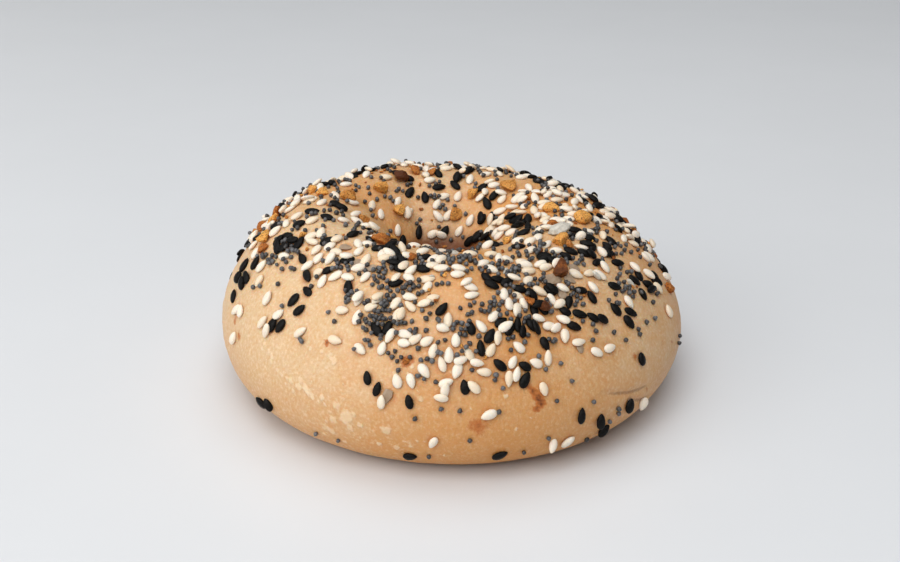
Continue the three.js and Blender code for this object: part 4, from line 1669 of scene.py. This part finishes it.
class BAGEL_OT_sesame(bpy.types.Operator):
    """Make the white and the black sesame seeds"""

    bl_idname = "bagel.sesame"
    bl_label = "Sesame seeds"

    def execute(self, context):
        toppings = context.scene.bagel.toppings
        smooth = functools.partial(sesame_mesh, ribs=0.0)
        ribbed = functools.partial(sesame_mesh, ribs=0.08)
        strewn_kind("white_sesame", "white", smooth, white_sesame_finish(toppings))
        strewn_kind("black_sesame", "black", ribbed, black_sesame_finish(toppings))
        return {"FINISHED"}


class BAGEL_OT_poppy(bpy.types.Operator):
    """Make the poppy seeds"""

    bl_idname = "bagel.poppy"
    bl_label = "Poppy seeds"

    def execute(self, context):
        toppings = context.scene.bagel.toppings
        strewn_kind("poppy_seeds", "poppy", poppy_mesh, poppy_finish(toppings))
        return {"FINISHED"}


class BAGEL_OT_flakes(bpy.types.Operator):
    """Make the toasted flakes, the translucent onion pieces and the crumbs"""

    bl_idname = "bagel.flakes"
    bl_label = "Flakes and crumbs"

    def execute(self, context):
        toppings = context.scene.bagel.toppings
        chip = functools.partial(chip_mesh, corners=90, cuts=8, curl=0.15)
        sheet = functools.partial(chip_mesh, corners=50, cuts=3, curl=0.2, rough=0.03)
        crumb = functools.partial(chip_mesh, corners=16, cuts=5, curl=0.0)
        strewn_kind("toasted_flakes", "flake", chip, flake_finish(toppings, "toasted_flake"))
        strewn_kind("onion_pieces", "onion", sheet, onion_finish(toppings))
        strewn_kind("toasted_crumbs", "crumb", crumb, flake_finish(toppings, "toasted_crumb"))
        return {"FINISHED"}


class BAGEL_OT_salt(bpy.types.Operator):
    """Make the coarse salt crystals"""

    bl_idname = "bagel.salt"
    bl_label = "Salt crystals"

    def execute(self, context):
        toppings = context.scene.bagel.toppings
        crystal = functools.partial(chip_mesh, corners=24, cuts=9, curl=0.0, rough=0.04)
        strewn_kind("salt_crystals", "salt", crystal, salt_finish(toppings))
        return {"FINISHED"}


def turned_towards(back):
    """A camera's or light's turn, when back points away from what it faces."""
    right = UP.cross(back).normalized()
    return Matrix((right, back.cross(right), back)).transposed().to_euler()


def new_light(name, direction, distance, size, power, tint=(1, 1, 1)):
    """A soft light that faces the bagel from a direction. Its size is its width and height."""
    light = bpy.data.lights.new(name, "AREA")
    light.shape = "RECTANGLE"
    light.size, light.size_y = size
    light.energy = power
    light.color = tint
    made = new_object(name, light)
    back = Vector(direction).normalized()
    made.location = back * distance
    made.rotation_euler = turned_towards(back)


CLIP = (0.01, 100)
FLOOR_HALF = 6.0
FLOOR_SHADE = 0.97  # of its darker clouds
FLOOR_CLOUDS = 60 * MM


class BAGEL_OT_stage(bpy.types.Operator):
    """Make the camera, the plain pale floor and the soft light"""

    bl_idname = "bagel.stage"
    bl_label = "Stage"

    def execute(self, context):
        stage = context.scene.bagel.stage
        eye = Eye(stage)
        camera = bpy.data.cameras.new("camera")
        camera.lens, camera.sensor_width = stage.focal_length, SENSOR_WIDTH
        camera.clip_start, camera.clip_end = CLIP
        made = new_object("camera", camera)
        made.location = eye.place
        made.rotation_euler = turned_towards(eye.back)
        context.scene.camera = made

        low, high = -FLOOR_HALF, FLOOR_HALF
        corners = ((low, low, 0), (high, low, 0), (high, high, 0), (low, high, 0))
        floor = new_object("floor", new_mesh("floor", corners, [(0, 1, 2, 3)], smooth=False))
        paint = Finish("pale_floor")
        light, dark = stage.floor, [FLOOR_SHADE * value for value in stage.floor]
        tone = paint.blotches(FLOOR_CLOUDS, rgba(dark), rgba(light), 1.0)
        floor.data.materials.append(paint.finish(Base_Color=tone, Roughness=0.55))
        floor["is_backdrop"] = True

        # Each one's direction, distance, size and power, and its tint if it isn't white.
        new_light("key", (-0.8, -0.5, 0.4), 1.15, (1.0, 0.8), stage.key_power, stage.key)
        new_light("rim", (-0.75, 0.6, 0.3), 1.15, (1.2, 0.8), stage.rim_power, stage.key)
        new_light("fill", (-0.1, -0.62, 0.8), 1.3, (1.1, 1.0), stage.fill_power)
        new_light("top", (-0.05, 0.1, 1.0), 1.2, (1.2, 1.2), stage.top_power)
        world = bpy.data.worlds.new("soft_light")
        world.use_nodes = True
        background = world.node_tree.nodes["Background"]
        background.inputs["Color"].default_value = rgba(stage.sky)
        background.inputs["Strength"].default_value = stage.sky_strength
        context.scene.world = world
        context.scene.view_settings.view_transform = "Standard"
        return {"FINISHED"}


OPERATORS = (
    BAGEL_OT_stage, BAGEL_OT_dough, BAGEL_OT_sesame, BAGEL_OT_poppy, BAGEL_OT_flakes,
    BAGEL_OT_salt,
)


class BAGEL_PT_panel(bpy.types.Panel):
    """Lists the bagel's pieces and their sizes"""

    bl_idname = "BAGEL_PT_panel"
    bl_label = "Seeded Bagel"
    bl_space_type = "VIEW_3D"
    bl_region_type = "UI"
    bl_category = "Bagel"

    def draw(self, context):
        settings = context.scene.bagel
        for operator in OPERATORS:
            self.layout.operator(operator.bl_idname)
        for group in (settings.dough, settings.crust, settings.toppings, settings.stage):
            box = self.layout.box()
            for name in group.__annotations__:
                box.prop(group, name)


CLASSES = (
    BagelDough, BagelCrust, BagelToppings, BagelStage, BagelSettings, *OPERATORS, BAGEL_PT_panel,
)


def register():
    for each in CLASSES:
        bpy.utils.register_class(each)
    bpy.types.Scene.bagel = PointerProperty(type=BagelSettings)


def unregister():
    del bpy.types.Scene.bagel
    for each in reversed(CLASSES):
        bpy.utils.unregister_class(each)


def write_sizes():
    """Makes the solids' box and the finished model's box into plain lists, which are not kept."""
    boxes = {"cad": CAD_BOX, "visual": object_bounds()}
    {name: [list(corner) for corner in box] for name, box in boxes.items()}


def main():
    register()
    bpy.ops.bagel.stage()
    bpy.ops.bagel.dough()
    bpy.ops.bagel.sesame()
    bpy.ops.bagel.poppy()
    bpy.ops.bagel.flakes()
    bpy.ops.bagel.salt()
    write_sizes()


if __name__ == "__main__":
    main()
